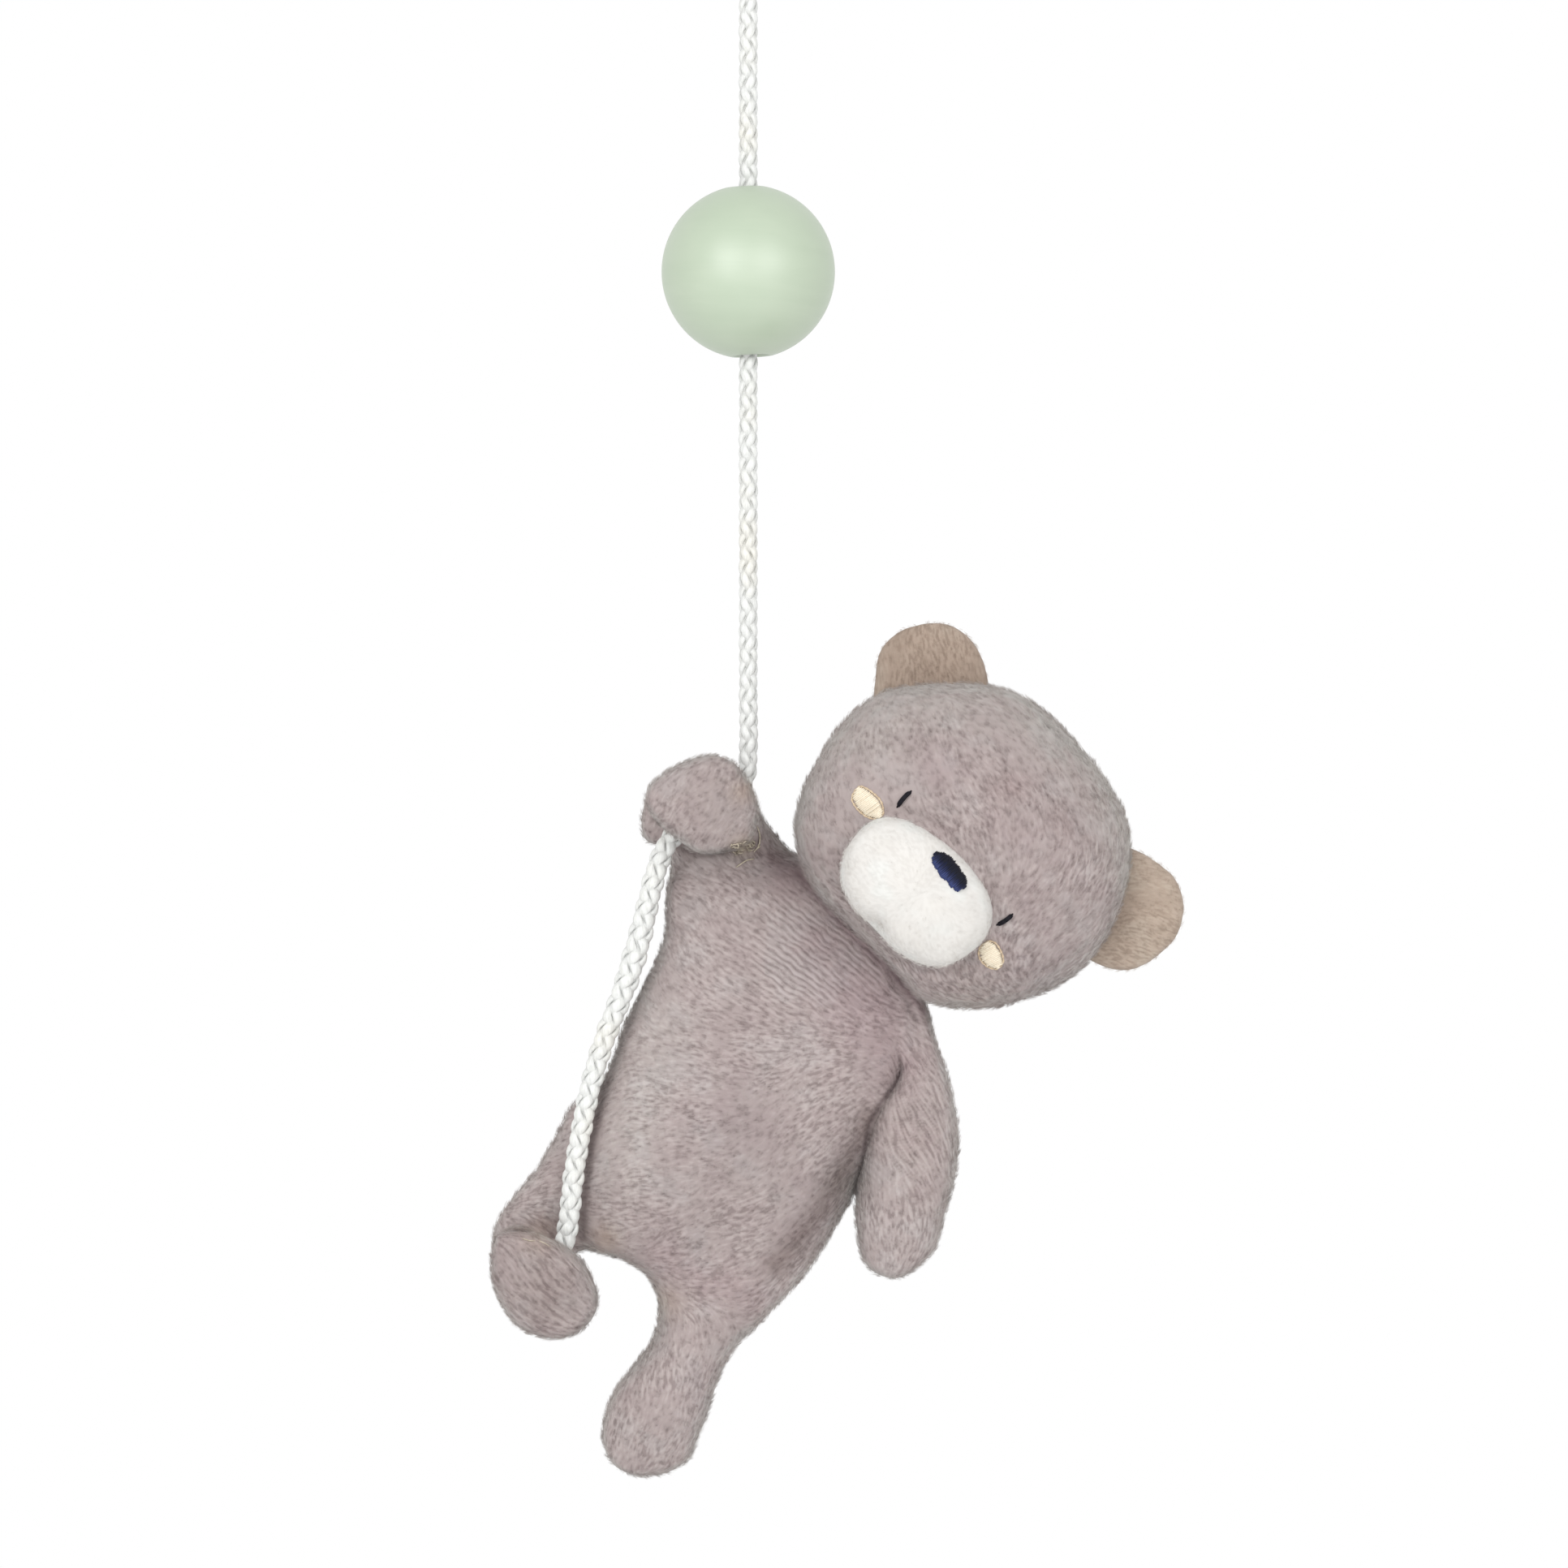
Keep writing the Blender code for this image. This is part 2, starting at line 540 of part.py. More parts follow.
# ---------------------------------------------------------------- ears
def ear_layer(name, outline, y_mid, empty):
    """One flat layer of an ear with rounded edges."""
    data = bpy.data.curves.new(name, "CURVE")
    data.dimensions = "2D"
    data.fill_mode = "BOTH"
    data.extrude = (EAR_LAYER / 2 - 0.3) * MM
    data.bevel_depth = 0.3 * MM
    data.bevel_resolution = 0
    data.offset = -0.3 * MM
    line = data.splines.new("POLY")
    pts = flat_points(outline, 22)
    line.points.add(len(pts) - 1)
    for spot, p in zip(line.points, pts):
        spot.co = (p.x, p.z, 0.0, 1.0)
    line.use_cyclic_u = True
    obj = bpy.data.objects.new(name + "_drawn", data)
    toy.objects.link(obj)
    obj.rotation_euler = (math.radians(90), 0.0, 0.0)
    obj.location = (0.0, y_mid * MM, 0.0)
    bpy.context.view_layer.update()
    mesh = evaluated(obj)
    mesh.transform(obj.matrix_world)
    bpy.data.objects.remove(obj, do_unlink=True)
    bm = bmesh.new()
    bm.from_mesh(mesh)
    bmesh.ops.remove_doubles(bm, verts=bm.verts, dist=1e-6)
    bmesh.ops.recalc_face_normals(bm, faces=bm.faces)
    bm.to_mesh(mesh)
    bm.free()
    layer = mesh_object(name, mesh)
    own_material(layer, "ear")
    hang_on(layer, empty)


for stem, outline, empty in (("upper_ear", UPPER_EAR, upper_ear_pivot),
                             ("lower_ear", LOWER_EAR, lower_ear_pivot)):
    off = (EAR_LAYER + GAP) / 2
    ear_layer(stem + "_front", outline, EAR_Y - off, empty)
    ear_layer(stem + "_back", outline, EAR_Y + off, empty)

# ---------------------------------------------------------------- tacking stitches
paw_tack = tube("paw_tack_stitch", even_points(
    [point(-2.6, -5.2, 197.0), point(-1.4, -3.4, 198.0), point(0.2, -1.4, 198.4),
     point(1.6, 0.6, 198.2)], False, 6), 0.7)
own_material(paw_tack, "tan")
hang_on(paw_tack, twirl_pivot)
foot_tack = tube("foot_tack_stitch", [point(-37.4, -1.7, 266.0), point(-37.5, 0.0, 266.3),
                                      point(-37.6, 1.8, 266.0)], 0.9)
own_material(foot_tack, "tan")
hang_on(foot_tack, twirl_pivot)

bpy.context.view_layer.update()
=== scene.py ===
import math

import bpy
import numpy as np
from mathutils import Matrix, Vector, noise


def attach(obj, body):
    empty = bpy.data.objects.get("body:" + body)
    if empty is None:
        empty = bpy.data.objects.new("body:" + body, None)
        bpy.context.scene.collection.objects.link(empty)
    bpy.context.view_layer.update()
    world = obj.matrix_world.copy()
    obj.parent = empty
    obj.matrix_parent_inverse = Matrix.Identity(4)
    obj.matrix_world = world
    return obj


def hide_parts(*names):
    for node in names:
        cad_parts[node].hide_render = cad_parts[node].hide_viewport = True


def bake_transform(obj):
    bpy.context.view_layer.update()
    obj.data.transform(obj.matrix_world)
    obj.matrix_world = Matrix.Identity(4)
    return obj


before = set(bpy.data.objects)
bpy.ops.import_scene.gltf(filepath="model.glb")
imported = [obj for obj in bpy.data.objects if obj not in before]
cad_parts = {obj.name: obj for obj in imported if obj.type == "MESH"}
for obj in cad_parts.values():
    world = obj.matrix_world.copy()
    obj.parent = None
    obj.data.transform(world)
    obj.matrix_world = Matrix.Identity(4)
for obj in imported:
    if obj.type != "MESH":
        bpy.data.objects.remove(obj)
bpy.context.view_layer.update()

MM = 0.001
CORD_D = 3.5

# ---------------------------------------------------------------- places, mm
# (right, down) on the front view, or (right, depth, down); depth grows away
# from the side that the bear faces.

LOWER_CORD = [
    (0.0, 0.0, 178.7), (-0.4, 0.0, 182.6), (-3.0, 0.0, 186.6), (-7.2, 0.0, 189.3),
    (-11.3, 0.0, 191.5), (-14.2, 0.0, 194.8), (-16.0, 0.0, 199.2), (-17.7, 0.0, 206.0),
    (-19.7, 0.0, 213.8), (-21.8, 0.0, 220.2), (-24.4, 0.0, 226.9), (-26.5, 0.0, 233.2),
    (-28.1, 0.0, 239.7), (-29.3, 0.0, 246.0), (-30.3, -0.2, 252.0), (-31.0, -0.4, 258.4),
    (-31.7, -0.3, 262.9), (-33.1, -0.1, 266.6), (-35.2, 0.1, 269.2), (-37.6, 0.3, 271.0)]

LOOP_ROUTE = [
    (-2.1, 0.0, 27.5), (-2.4, 0.0, 23.5), (-4.2, 0.0, 19.3), (-6.6, 0.0, 15.4),
    (-8.6, 0.0, 11.6), (-9.2, 0.0, 8.0), (-8.4, 0.0, 4.6), (-6.2, 0.0, 1.2),
    (-3.2, 0.0, -1.2), (0.0, 0.0, -1.75), (3.2, 0.0, -1.2), (6.2, 0.0, 1.2),
    (8.4, 0.0, 4.6), (9.2, 0.0, 8.0), (8.6, 0.0, 11.6), (6.6, 0.0, 15.4),
    (4.2, 0.0, 19.3), (2.4, 0.0, 23.5), (2.1, 0.0, 27.5)]

TORSO = [
    (-7.5, 199.6), (-13.5, 200.6), (-14.4, 205.0), (-14.5, 209.4), (-15.7, 213.8),
    (-18.6, 220.0), (-21.8, 226.4), (-24.0, 232.6), (-26.6, 238.6), (-29.2, 245.0),
    (-30.4, 252.0), (-29.8, 259.6), (-26.8, 265.5), (-22.6, 267.1), (-18.8, 269.3),
    (-15.6, 272.3), (-12.0, 274.8), (-6.0, 277.2), (-0.4, 278.0), (4.4, 275.3),
    (8.4, 271.6), (11.7, 267.1), (15.1, 261.5), (18.8, 254.8), (22.2, 248.3),
    (25.2, 242.0), (27.4, 235.4), (28.6, 228.4), (29.4, 221.4), (29.6, 214.0),
    (27.0, 206.5), (19.0, 199.0), (9.0, 196.9), (1.0, 197.9)]

HEAD = [
    (8.2, 189.6), (11.6, 180.6), (16.8, 173.0), (23.3, 168.3), (32.0, 166.7),
    (41.6, 167.0), (48.8, 169.8), (55.6, 175.6), (61.9, 183.2), (65.9, 191.9),
    (65.6, 201.2), (62.0, 210.4), (56.0, 217.4), (47.8, 221.4), (38.4, 222.7),
    (30.2, 221.4), (24.4, 215.4), (17.4, 208.6), (11.0, 201.8), (8.6, 195.8)]

MUZZLE = [
    (24.1, 189.5), (29.8, 190.6), (35.4, 194.2), (40.0, 199.4), (42.4, 204.8),
    (41.9, 209.2), (38.8, 213.2), (33.4, 215.8), (27.7, 214.3), (22.6, 209.9),
    (17.6, 204.6), (16.1, 200.2), (17.0, 195.2), (20.2, 191.0)]

RAISED_ARM = [
    (9.6, 199.5), (9.0, 206.5), (0.5, 211.5), (-9.5, 209.0), (-13.2, 201.0),
    (-14.6, 195.8), (-18.2, 194.0), (-18.9, 189.6), (-17.2, 185.4), (-12.8, 181.6),
    (-7.2, 180.0), (-2.5, 181.0), (0.2, 185.2), (2.7, 189.6), (5.5, 193.6)]

PAW = [
    (-17.3, 184.6), (-12.8, 181.0), (-7.2, 179.1), (-2.6, 180.4), (0.3, 184.3),
    (1.6, 189.4), (0.3, 194.2), (-3.8, 196.1), (-8.7, 196.1), (-12.9, 193.1),
    (-16.2, 190.2), (-17.9, 187.0)]

FREE_ARM = [
    (28.2, 219.5), (30.6, 222.8), (33.1, 229.6), (35.4, 236.8), (36.9, 245.0),
    (36.2, 252.2), (34.4, 259.2), (32.1, 266.1), (25.9, 270.5), (20.4, 268.1),
    (18.8, 262.2), (18.7, 255.0), (19.4, 249.2), (20.6, 243.1), (22.8, 239.0),
    (25.6, 235.0), (26.3, 229.0), (26.2, 223.0)]

FREE_LEG = [
    (-13.0, 262.0), (-15.4, 270.0), (-15.6, 275.8), (-16.5, 280.3), (-19.2, 284.5),
    (-22.3, 288.2), (-24.7, 292.6), (-25.4, 299.3), (-22.5, 303.9), (-16.6, 305.0),
    (-10.9, 302.7), (-8.5, 297.6), (-6.5, 292.0), (-4.6, 286.4), (-1.6, 281.9),
    (2.8, 276.4), (6.0, 266.0), (-3.0, 258.0)]

CORD_LEG = [
    (-24.0, 238.0), (-30.4, 239.4), (-33.7, 245.3), (-37.1, 251.4), (-41.3, 256.5),
    (-44.6, 262.2), (-43.2, 270.8), (-38.0, 273.1), (-33.2, 269.0), (-28.6, 265.6),
    (-18.0, 262.4), (-14.0, 250.0)]

FOOT = [
    (-43.0, 261.4), (-38.2, 260.6), (-33.0, 262.7), (-28.9, 265.6), (-26.6, 269.5),
    (-25.8, 273.4), (-27.4, 277.0), (-31.4, 279.4), (-36.1, 279.2), (-40.4, 277.2),
    (-43.1, 272.3), (-44.3, 266.0)]

UPPER_EAR = [
    (22.0, 171.5), (21.8, 165.0), (22.5, 161.2), (25.0, 158.0), (28.8, 156.2),
    (33.0, 155.8), (36.4, 157.0), (39.3, 159.5), (41.0, 162.9), (41.8, 167.0),
    (41.6, 172.0), (32.0, 174.5)]

LOWER_EAR = [
    (61.0, 195.0), (66.8, 195.3), (70.6, 197.4), (74.2, 200.7), (75.5, 205.4),
    (74.2, 210.2), (71.0, 213.7), (66.8, 216.2), (61.6, 215.9), (57.0, 212.5),
    (56.5, 203.0)]

NOSE = [
    (33.0, 195.7), (34.5, 196.0), (35.8, 197.1), (36.6, 198.1), (37.6, 199.5),
    (38.1, 200.4), (38.2, 201.1), (37.7, 202.1), (36.9, 202.5), (36.0, 202.8),
    (34.9, 202.1), (34.1, 200.9), (33.2, 200.5), (32.7, 199.4), (32.1, 198.5),
    (31.7, 197.6), (31.9, 196.9), (32.3, 196.1)]

UPPER_CHEEK = [
    (19.4, 184.5), (20.6, 184.9), (21.7, 185.7), (22.8, 186.8), (23.3, 188.0),
    (23.3, 189.4), (22.4, 190.1), (20.9, 189.9), (19.6, 189.1), (18.6, 188.0),
    (18.0, 186.8), (18.4, 185.4)]

LOWER_CHEEK = [
    (41.7, 211.3), (42.8, 211.6), (43.5, 212.5), (44.1, 213.8), (44.2, 215.0),
    (43.3, 216.1), (42.0, 216.0), (40.6, 215.0), (40.0, 213.8), (40.2, 212.4)]

EYE_UPPER = [(25.75, 188.2), (28.35, 185.2)]
EYE_LOWER = [(43.0, 208.55), (45.9, 206.5)]


def drawn_in(points, depth):
    """Places read from the front view, brought in for parts that stand depth mm in front of the middle."""
    k = 1.0 - depth / 1020.4
    return [(6.2 + (r - 6.2) * k, 184.06 + (d - 184.06) * k) for r, d in points]


MUZZLE = drawn_in(MUZZLE, 19.5)
NOSE = drawn_in(NOSE, 28.5)
UPPER_CHEEK = drawn_in(UPPER_CHEEK, 18.0)
LOWER_CHEEK = drawn_in(LOWER_CHEEK, 18.0)
EYE_UPPER = drawn_in(EYE_UPPER, 20.0)
EYE_LOWER = drawn_in(EYE_LOWER, 20.0)

AXIS_EAR = np.array([0.644, 0.765])      # line from ear to ear, (right, down)
AXIS_UP = np.array([0.765, -0.644])      # towards the top of the head
HIP = (-8.2, 6.0, 277.2)
HIP_OUT = np.array([-0.39, 0.0, 0.92])


# ---------------------------------------------------------------- curves

def spline(points, step):
    """A smooth line through points, with a point about every step."""
    p = np.array(points, float)
    ends = np.vstack([2 * p[0] - p[1], p, 2 * p[-1] - p[-2]])
    knots = np.concatenate([[0.0], np.cumsum(np.sqrt(np.linalg.norm(np.diff(ends, axis=0), axis=1)))])
    dense = []
    for i in range(1, len(ends) - 2):
        t0, t1, t2, t3 = knots[i - 1:i + 3]
        t = np.linspace(t1, t2, 25)[:-1, None]
        a, b, c, d = ends[i - 1], ends[i], ends[i + 1], ends[i + 2]
        ab = (t1 - t) / (t1 - t0) * a + (t - t0) / (t1 - t0) * b
        bc = (t2 - t) / (t2 - t1) * b + (t - t1) / (t2 - t1) * c
        cd = (t3 - t) / (t3 - t2) * c + (t - t2) / (t3 - t2) * d
        abc = (t2 - t) / (t2 - t0) * ab + (t - t0) / (t2 - t0) * bc
        bcd = (t3 - t) / (t3 - t1) * bc + (t - t1) / (t3 - t1) * cd
        dense.append((t2 - t) / (t2 - t1) * abc + (t - t1) / (t2 - t1) * bcd)
    dense = np.vstack(dense + [p[-1:]])
    return evenly(dense, step)


def evenly(line, step):
    along = np.concatenate([[0.0], np.cumsum(np.linalg.norm(np.diff(line, axis=0), axis=1))])
    count = max(2, int(round(along[-1] / step)) + 1)
    at = np.linspace(0.0, along[-1], count)
    return np.stack([np.interp(at, along, line[:, k]) for k in range(line.shape[1])], axis=1)


def closed_outline(points, step=0.6):
    p = list(points)
    loop = spline(p[-3:] + p + p[:3], step)
    start, finish = np.array(p[0]), np.array(p[0])
    near_start = np.argmin(np.linalg.norm(loop[:len(loop) // 2] - start, axis=1))
    half = len(loop) // 2
    near_end = half + np.argmin(np.linalg.norm(loop[half:] - finish, axis=1))
    return loop[near_start:near_end]


def frames(line):
    """Tangents, and two crosswise directions that turn as little as possible."""
    tangent = np.gradient(line, axis=0)
    tangent /= np.linalg.norm(tangent, axis=1)[:, None]
    side = np.zeros_like(line)
    first = np.array([0.0, -1.0, 0.0])
    first -= tangent[0] * (first @ tangent[0])
    side[0] = first / np.linalg.norm(first)
    for i in range(1, len(line)):
        s = side[i - 1] - tangent[i] * (side[i - 1] @ tangent[i])
        side[i] = s / np.linalg.norm(s)
    return tangent, side, np.cross(tangent, side)


# ---------------------------------------------------------------- meshes

def new_mesh(name, verts, faces, material=None, smooth=True):
    """An object from points in mm, (right, depth, down), and its faces."""
    v = np.asarray(verts, float) * MM
    v[:, 2] *= -1.0
    mesh = bpy.data.meshes.new(name)
    mesh.from_pydata(v.tolist(), [], [list(map(int, f)) for f in faces])
    mesh.validate()
    mesh.polygons.foreach_set("use_smooth", [smooth] * len(mesh.polygons))
    mesh.update()
    piece = bpy.data.objects.new(name, mesh)
    bpy.context.scene.collection.objects.link(piece)
    if material is not None:
        mesh.materials.append(material)
    return piece


def sweep(line, side, other, radius_side, radius_other, round_count, caps=True):
    """Points and faces of one closed tube; the radii may be numbers or arrays."""
    n = len(line)
    rs = np.broadcast_to(np.asarray(radius_side, float), (n,))
    ro = np.broadcast_to(np.asarray(radius_other, float), (n,))
    a = np.linspace(0, 2 * np.pi, round_count, endpoint=False)
    pts = (line[:, None, :] + rs[:, None, None] * np.cos(a)[None, :, None] * side[:, None, :]
           + ro[:, None, None] * np.sin(a)[None, :, None] * other[:, None, :]).reshape(-1, 3)
    i = np.arange(n - 1)[:, None] * round_count
    j = np.arange(round_count)[None, :]
    k = (j + 1) % round_count
    quads = np.stack([i + j, i + round_count + j, i + round_count + k, i + k], axis=-1).reshape(-1, 4).tolist()
    if caps:
        quads.append(list(range(round_count)))
        quads.append(list(range((n - 1) * round_count, n * round_count))[::-1])
    return pts, quads


def braid(line, width, pitch, per_way, strand_wide, half_thick, weave, round_count, phase=0.0, loose=0.0):
    """A round braid of per_way strands each way about line, over one and under one, in one set of tubes.

    Width and pitch may change along the line."""
    tangent, side, other = frames(line)
    steps = np.linalg.norm(np.diff(line, axis=0), axis=1)
    along = np.concatenate([[0.0], np.cumsum(steps)])
    width = np.broadcast_to(np.asarray(width, float), (len(line),))
    pitch = np.broadcast_to(np.asarray(pitch, float), (len(line),))
    turn = 2 * np.pi * np.concatenate([[0.0], np.cumsum(steps / (0.5 * (pitch[1:] + pitch[:-1])))])
    radius = width / 2.0 - half_thick - weave
    verts, faces, base = [], [], 0
    for way in (1.0, -1.0):
        for k in range(per_way):
            angle = way * turn + 2 * np.pi * k / per_way + phase
            if way < 0:
                angle = angle + np.pi / per_way
            lift = way * weave * np.sin(per_way * turn)
            wobble = loose * np.array([noise.noise(Vector((float(a) * 0.35, k * 7.1, way * 3.3 + 11.0))) for a in along])
            sway = 0.10 * np.array([noise.noise(Vector((float(a) * 0.30, k * 5.3 + 40.0, way * 2.7))) for a in along])
            r = radius + lift + wobble
            angle = angle + sway
            out = np.cos(angle)[:, None] * side + np.sin(angle)[:, None] * other
            centre = line + r[:, None] * out
            normal = out / np.linalg.norm(out, axis=1)[:, None]
            t = np.gradient(centre, axis=0)
            t /= np.linalg.norm(t, axis=1)[:, None]
            normal -= t * np.sum(normal * t, axis=1)[:, None]
            normal /= np.linalg.norm(normal, axis=1)[:, None]
            across = np.cross(t, normal)
            pts, quads = sweep(centre, across, normal, np.asarray(strand_wide) / 2.0, half_thick, round_count)
            verts.append(pts)
            faces += [[q + base for q in f] for f in quads]
            base += len(pts)
    pts, quads = sweep(line, side, other, radius + 0.15, radius + 0.15, 12)
    verts.append(pts)
    faces += [[q + base for q in f] for f in quads]
    verts = np.vstack(verts)
    return verts, faces


def painted_crevice_shade(piece, verts, line, width, low=0.76, start=0.72, full=1.00, gain=1.0):
    """Painted shade in the braid's crevices: a colour share that is lower the deeper a point lies in the braid."""
    best = np.full(len(verts), 1e9)
    rim = np.broadcast_to(np.asarray(width, float), (len(line),)) / 2.0
    least = np.broadcast_to(np.asarray(low, float), (len(line),))
    most = np.broadcast_to(np.asarray(gain, float), (len(line),))
    at, deep, high = np.zeros(len(verts)), np.zeros(len(verts)), np.ones(len(verts))
    for p, r, q, g in zip(line[::3], rim[::3], least[::3], most[::3]):
        d = np.sum((verts - p) ** 2, axis=1)
        near = d < best
        best[near] = d[near]
        at[near] = r
        deep[near] = q
        high[near] = g
    share = deep + (high - deep) * smooth(np.sqrt(best) / at, start, full)
    mesh = piece.data
    corners = np.empty(len(mesh.loops), np.int64)
    mesh.loops.foreach_get("vertex_index", corners)
    colour = np.ones((len(verts), 4))
    colour[:, :3] = 0.5 * share[:, None] * np.array([1.0, 1.0, 0.995])
    layer = mesh.color_attributes.new(name="tint", type="BYTE_COLOR", domain="CORNER")
    layer.data.foreach_set("color", colour[corners].reshape(-1).astype(np.float32))


# ---------------------------------------------------------------- soft forms

class Grid:
    """A block of space in mm, on which soft forms are added together."""

    def __init__(self, low, high, step):
        self.low, self.step = np.array(low, float), step
        count = np.ceil((np.array(high, float) - self.low) / step).astype(int) + 1
        self.x, self.y, self.d = (self.low[k] + step * np.arange(count[k]) for k in range(3))
        self.shape = tuple(count)

    def points(self):
        return np.meshgrid(self.x, self.y, self.d, indexing="ij", sparse=True)


def polygon_distance(px, py, loop):
    """Distance of each point to a closed line, positive inside."""
    a = loop
    b = np.roll(loop, -1, axis=0)
    best = np.full(px.shape, 1e9)
    inside = np.zeros(px.shape, bool)
    for (x0, y0), (x1, y1) in zip(a, b):
        dx, dy = x1 - x0, y1 - y0
        t = np.clip(((px - x0) * dx + (py - y0) * dy) / (dx * dx + dy * dy + 1e-12), 0, 1)
        best = np.minimum(best, (px - x0 - t * dx) ** 2 + (py - y0 - t * dy) ** 2)
        if y0 != y1:
            crosses = (y0 > py) != (y1 > py)
            inside ^= crosses & (px < x0 + (py - y0) * dx / dy)
    best = np.sqrt(best)
    return np.where(inside, best, -best)


FILLED = {}


def inflation(outline, xs, ds):
    """How a bag of this outline fills: 1 at its fullest, 0 on the seam, negative outside."""
    loop = closed_outline(outline, 1.2)
    key = tuple(outline)
    if key not in FILLED:
        lo, hi = loop.min(0) - 3.0, loop.max(0) + 3.0
        filled = None
        for pitch, rounds in ((2.4, 260), (1.2, 260), (0.6, 200)):
            gx = np.arange(lo[0], hi[0] + pitch, pitch)
            gd = np.arange(lo[1], hi[1] + pitch, pitch)
            px, pd = np.meshgrid(gx, gd, indexing="ij")
            depth = polygon_distance(px, pd, loop)
            mask = depth > 0
            u = np.zeros(px.shape) if filled is None else resample(filled[0], filled[1], filled[2], gx, gd)
            u = np.where(mask, u, 0.0)
            h2 = pitch * pitch
            for _ in range(rounds):
                s = np.zeros_like(u)
                s[1:-1, 1:-1] = 0.25 * (u[2:, 1:-1] + u[:-2, 1:-1] + u[1:-1, 2:] + u[1:-1, :-2] + h2)
                u = np.where(mask, s, 0.0)
            filled = (u, gx, gd)
        edge = (depth > 1.0) & (depth < 2.6)
        FILLED[key] = (u, gx, gd, float(np.mean(u[edge] / depth[edge])))
    u, gx, gd, slope = FILLED[key]
    px, pd = np.meshgrid(xs, ds, indexing="ij")
    depth = polygon_distance(px, pd, loop)
    near = np.clip(depth / 2.4, 0, 1)
    near = near * near * (3 - 2 * near)
    out = near * resample(u, gx, gd, xs, ds) + (1 - near) * slope * depth
    return out / u.max()


def resample(u, gx, gd, xs, ds):
    """u on the lines gx, gd, read at xs, ds by straight interpolation."""
    ix = np.clip((np.asarray(xs) - gx[0]) / (gx[1] - gx[0]), 0, len(gx) - 1.001)
    jd = np.clip((np.asarray(ds) - gd[0]) / (gd[1] - gd[0]), 0, len(gd) - 1.001)
    i, j = ix.astype(int), jd.astype(int)
    fx, fd = (ix - i)[:, None], (jd - j)[None, :]
    a, b = u[np.ix_(i, j)], u[np.ix_(i + 1, j)]
    c, d = u[np.ix_(i, j + 1)], u[np.ix_(i + 1, j + 1)]
    return (a * (1 - fx) + b * fx) * (1 - fd) + (c * (1 - fx) + d * fx) * fd


def bag(grid, outline, y_mid, front, back, fullness=2.0):
    """A stuffed bag of that outline, its seam in the plane y_mid: a field, positive inside, in about mm."""
    u = inflation(outline, grid.x, grid.d)
    gx, gd = np.gradient(u, grid.step)
    slope = np.sqrt(gx * gx + gd * gd)[:, None, :]
    y = grid.y[None, :, None]
    half = np.where(y < y_mid, front, back)
    rel = np.abs(y - y_mid) / half
    field = u[:, None, :] - rel ** fullness
    steep = np.sqrt(slope ** 2 + (fullness * rel ** (fullness - 1) / half) ** 2)
    return field / np.maximum(steep, 0.02)


def stroke(grid, points, radii, stretch=None, factor=1.0):
    """A soft roll along points; stretch is a direction in which it is factor times wider."""
    x, y, d = grid.points()
    p = np.array(points, float)
    if stretch is not None:
        s = np.array(stretch, float) / np.linalg.norm(stretch)
        def squeeze(v):
            along = v[0] * s[0] + v[1] * s[1] + v[2] * s[2]
            k = along * (1.0 / factor - 1.0)
            return v[0] + k * s[0], v[1] + k * s[1], v[2] + k * s[2]
        x, y, d = squeeze((x, y, d))
        p = np.array([squeeze(q) for q in p])
    best = None
    for (a, b, ra, rb) in zip(p[:-1], p[1:], radii[:-1], radii[1:]):
        ab = b - a
        t = np.clip(((x - a[0]) * ab[0] + (y - a[1]) * ab[1] + (d - a[2]) * ab[2]) / (ab @ ab), 0, 1)
        dist = np.sqrt((x - a[0] - t * ab[0]) ** 2 + (y - a[1] - t * ab[1]) ** 2 + (d - a[2] - t * ab[2]) ** 2)
        here = ra + (rb - ra) * t - dist
        best = here if best is None else np.maximum(best, here)
    return best


def join(a, b, soft):
    h = np.clip(0.5 + 0.5 * (a - b) / soft, 0, 1)
    return b * (1 - h) + a * h + soft * h * (1 - h)


def skin(grid, field):
    """Points and faces of the surface where field is 0, outward."""
    inside = field > 0
    nx, ny, nz = field.shape
    total = np.zeros((nx - 1, ny - 1, nz - 1, 3), np.float32)
    hits = np.zeros((nx - 1, ny - 1, nz - 1), np.float32)

    def part(a, i, j, k):
        return a[i:nx - 1 + i, j:ny - 1 + j, k:nz - 1 + k]

    for axis in range(3):
        for p in (0, 1):
            for q in (0, 1):
                a = [0, 0, 0]
                others = [k for k in range(3) if k != axis]
                a[others[0]], a[others[1]] = p, q
                b = list(a)
                b[axis] = 1
                fa, fb = part(field, *a), part(field, *b)
                cross = part(inside, *a) != part(inside, *b)
                t = np.where(cross, fa / np.where(cross, fa - fb, 1.0), 0.0)
                for k in range(3):
                    total[..., k] += np.where(cross, t if k == axis else float(a[k]), 0.0)
                hits += cross
    active = hits > 0
    index = np.full(active.shape, -1, np.int64)
    index[active] = np.arange(int(active.sum()))
    cells = np.argwhere(active)
    verts = grid.low + grid.step * (cells + total[active] / hits[active][:, None])
    faces = []
    for axis in range(3):
        o = [k for k in range(3) if k != axis]
        if axis == 1:
            o = [2, 0]
        low = [slice(None)] * 3
        high = [slice(None)] * 3
        low[axis], high[axis] = slice(0, -1), slice(1, None)
        change = inside[tuple(low)] != inside[tuple(high)]
        keep = [slice(None)] * 3
        for k in o:
            keep[k] = slice(1, -1)
        change = change[tuple(keep)]
        goes = inside[tuple(low)][tuple(keep)]
        at = np.argwhere(change)
        way = goes[change]
        base = at.copy()
        for k in o:
            base[:, k] += 1
        corner = []
        for da, db in ((-1, -1), (0, -1), (0, 0), (-1, 0)):
            c = base.copy()
            c[:, o[0]] += da
            c[:, o[1]] += db
            corner.append(index[c[:, 0], c[:, 1], c[:, 2]])
        quad = np.stack(corner, axis=1)
        quad = np.where(way[:, None], quad[:, ::-1], quad)
        faces.append(quad)
    return verts, np.vstack(faces)


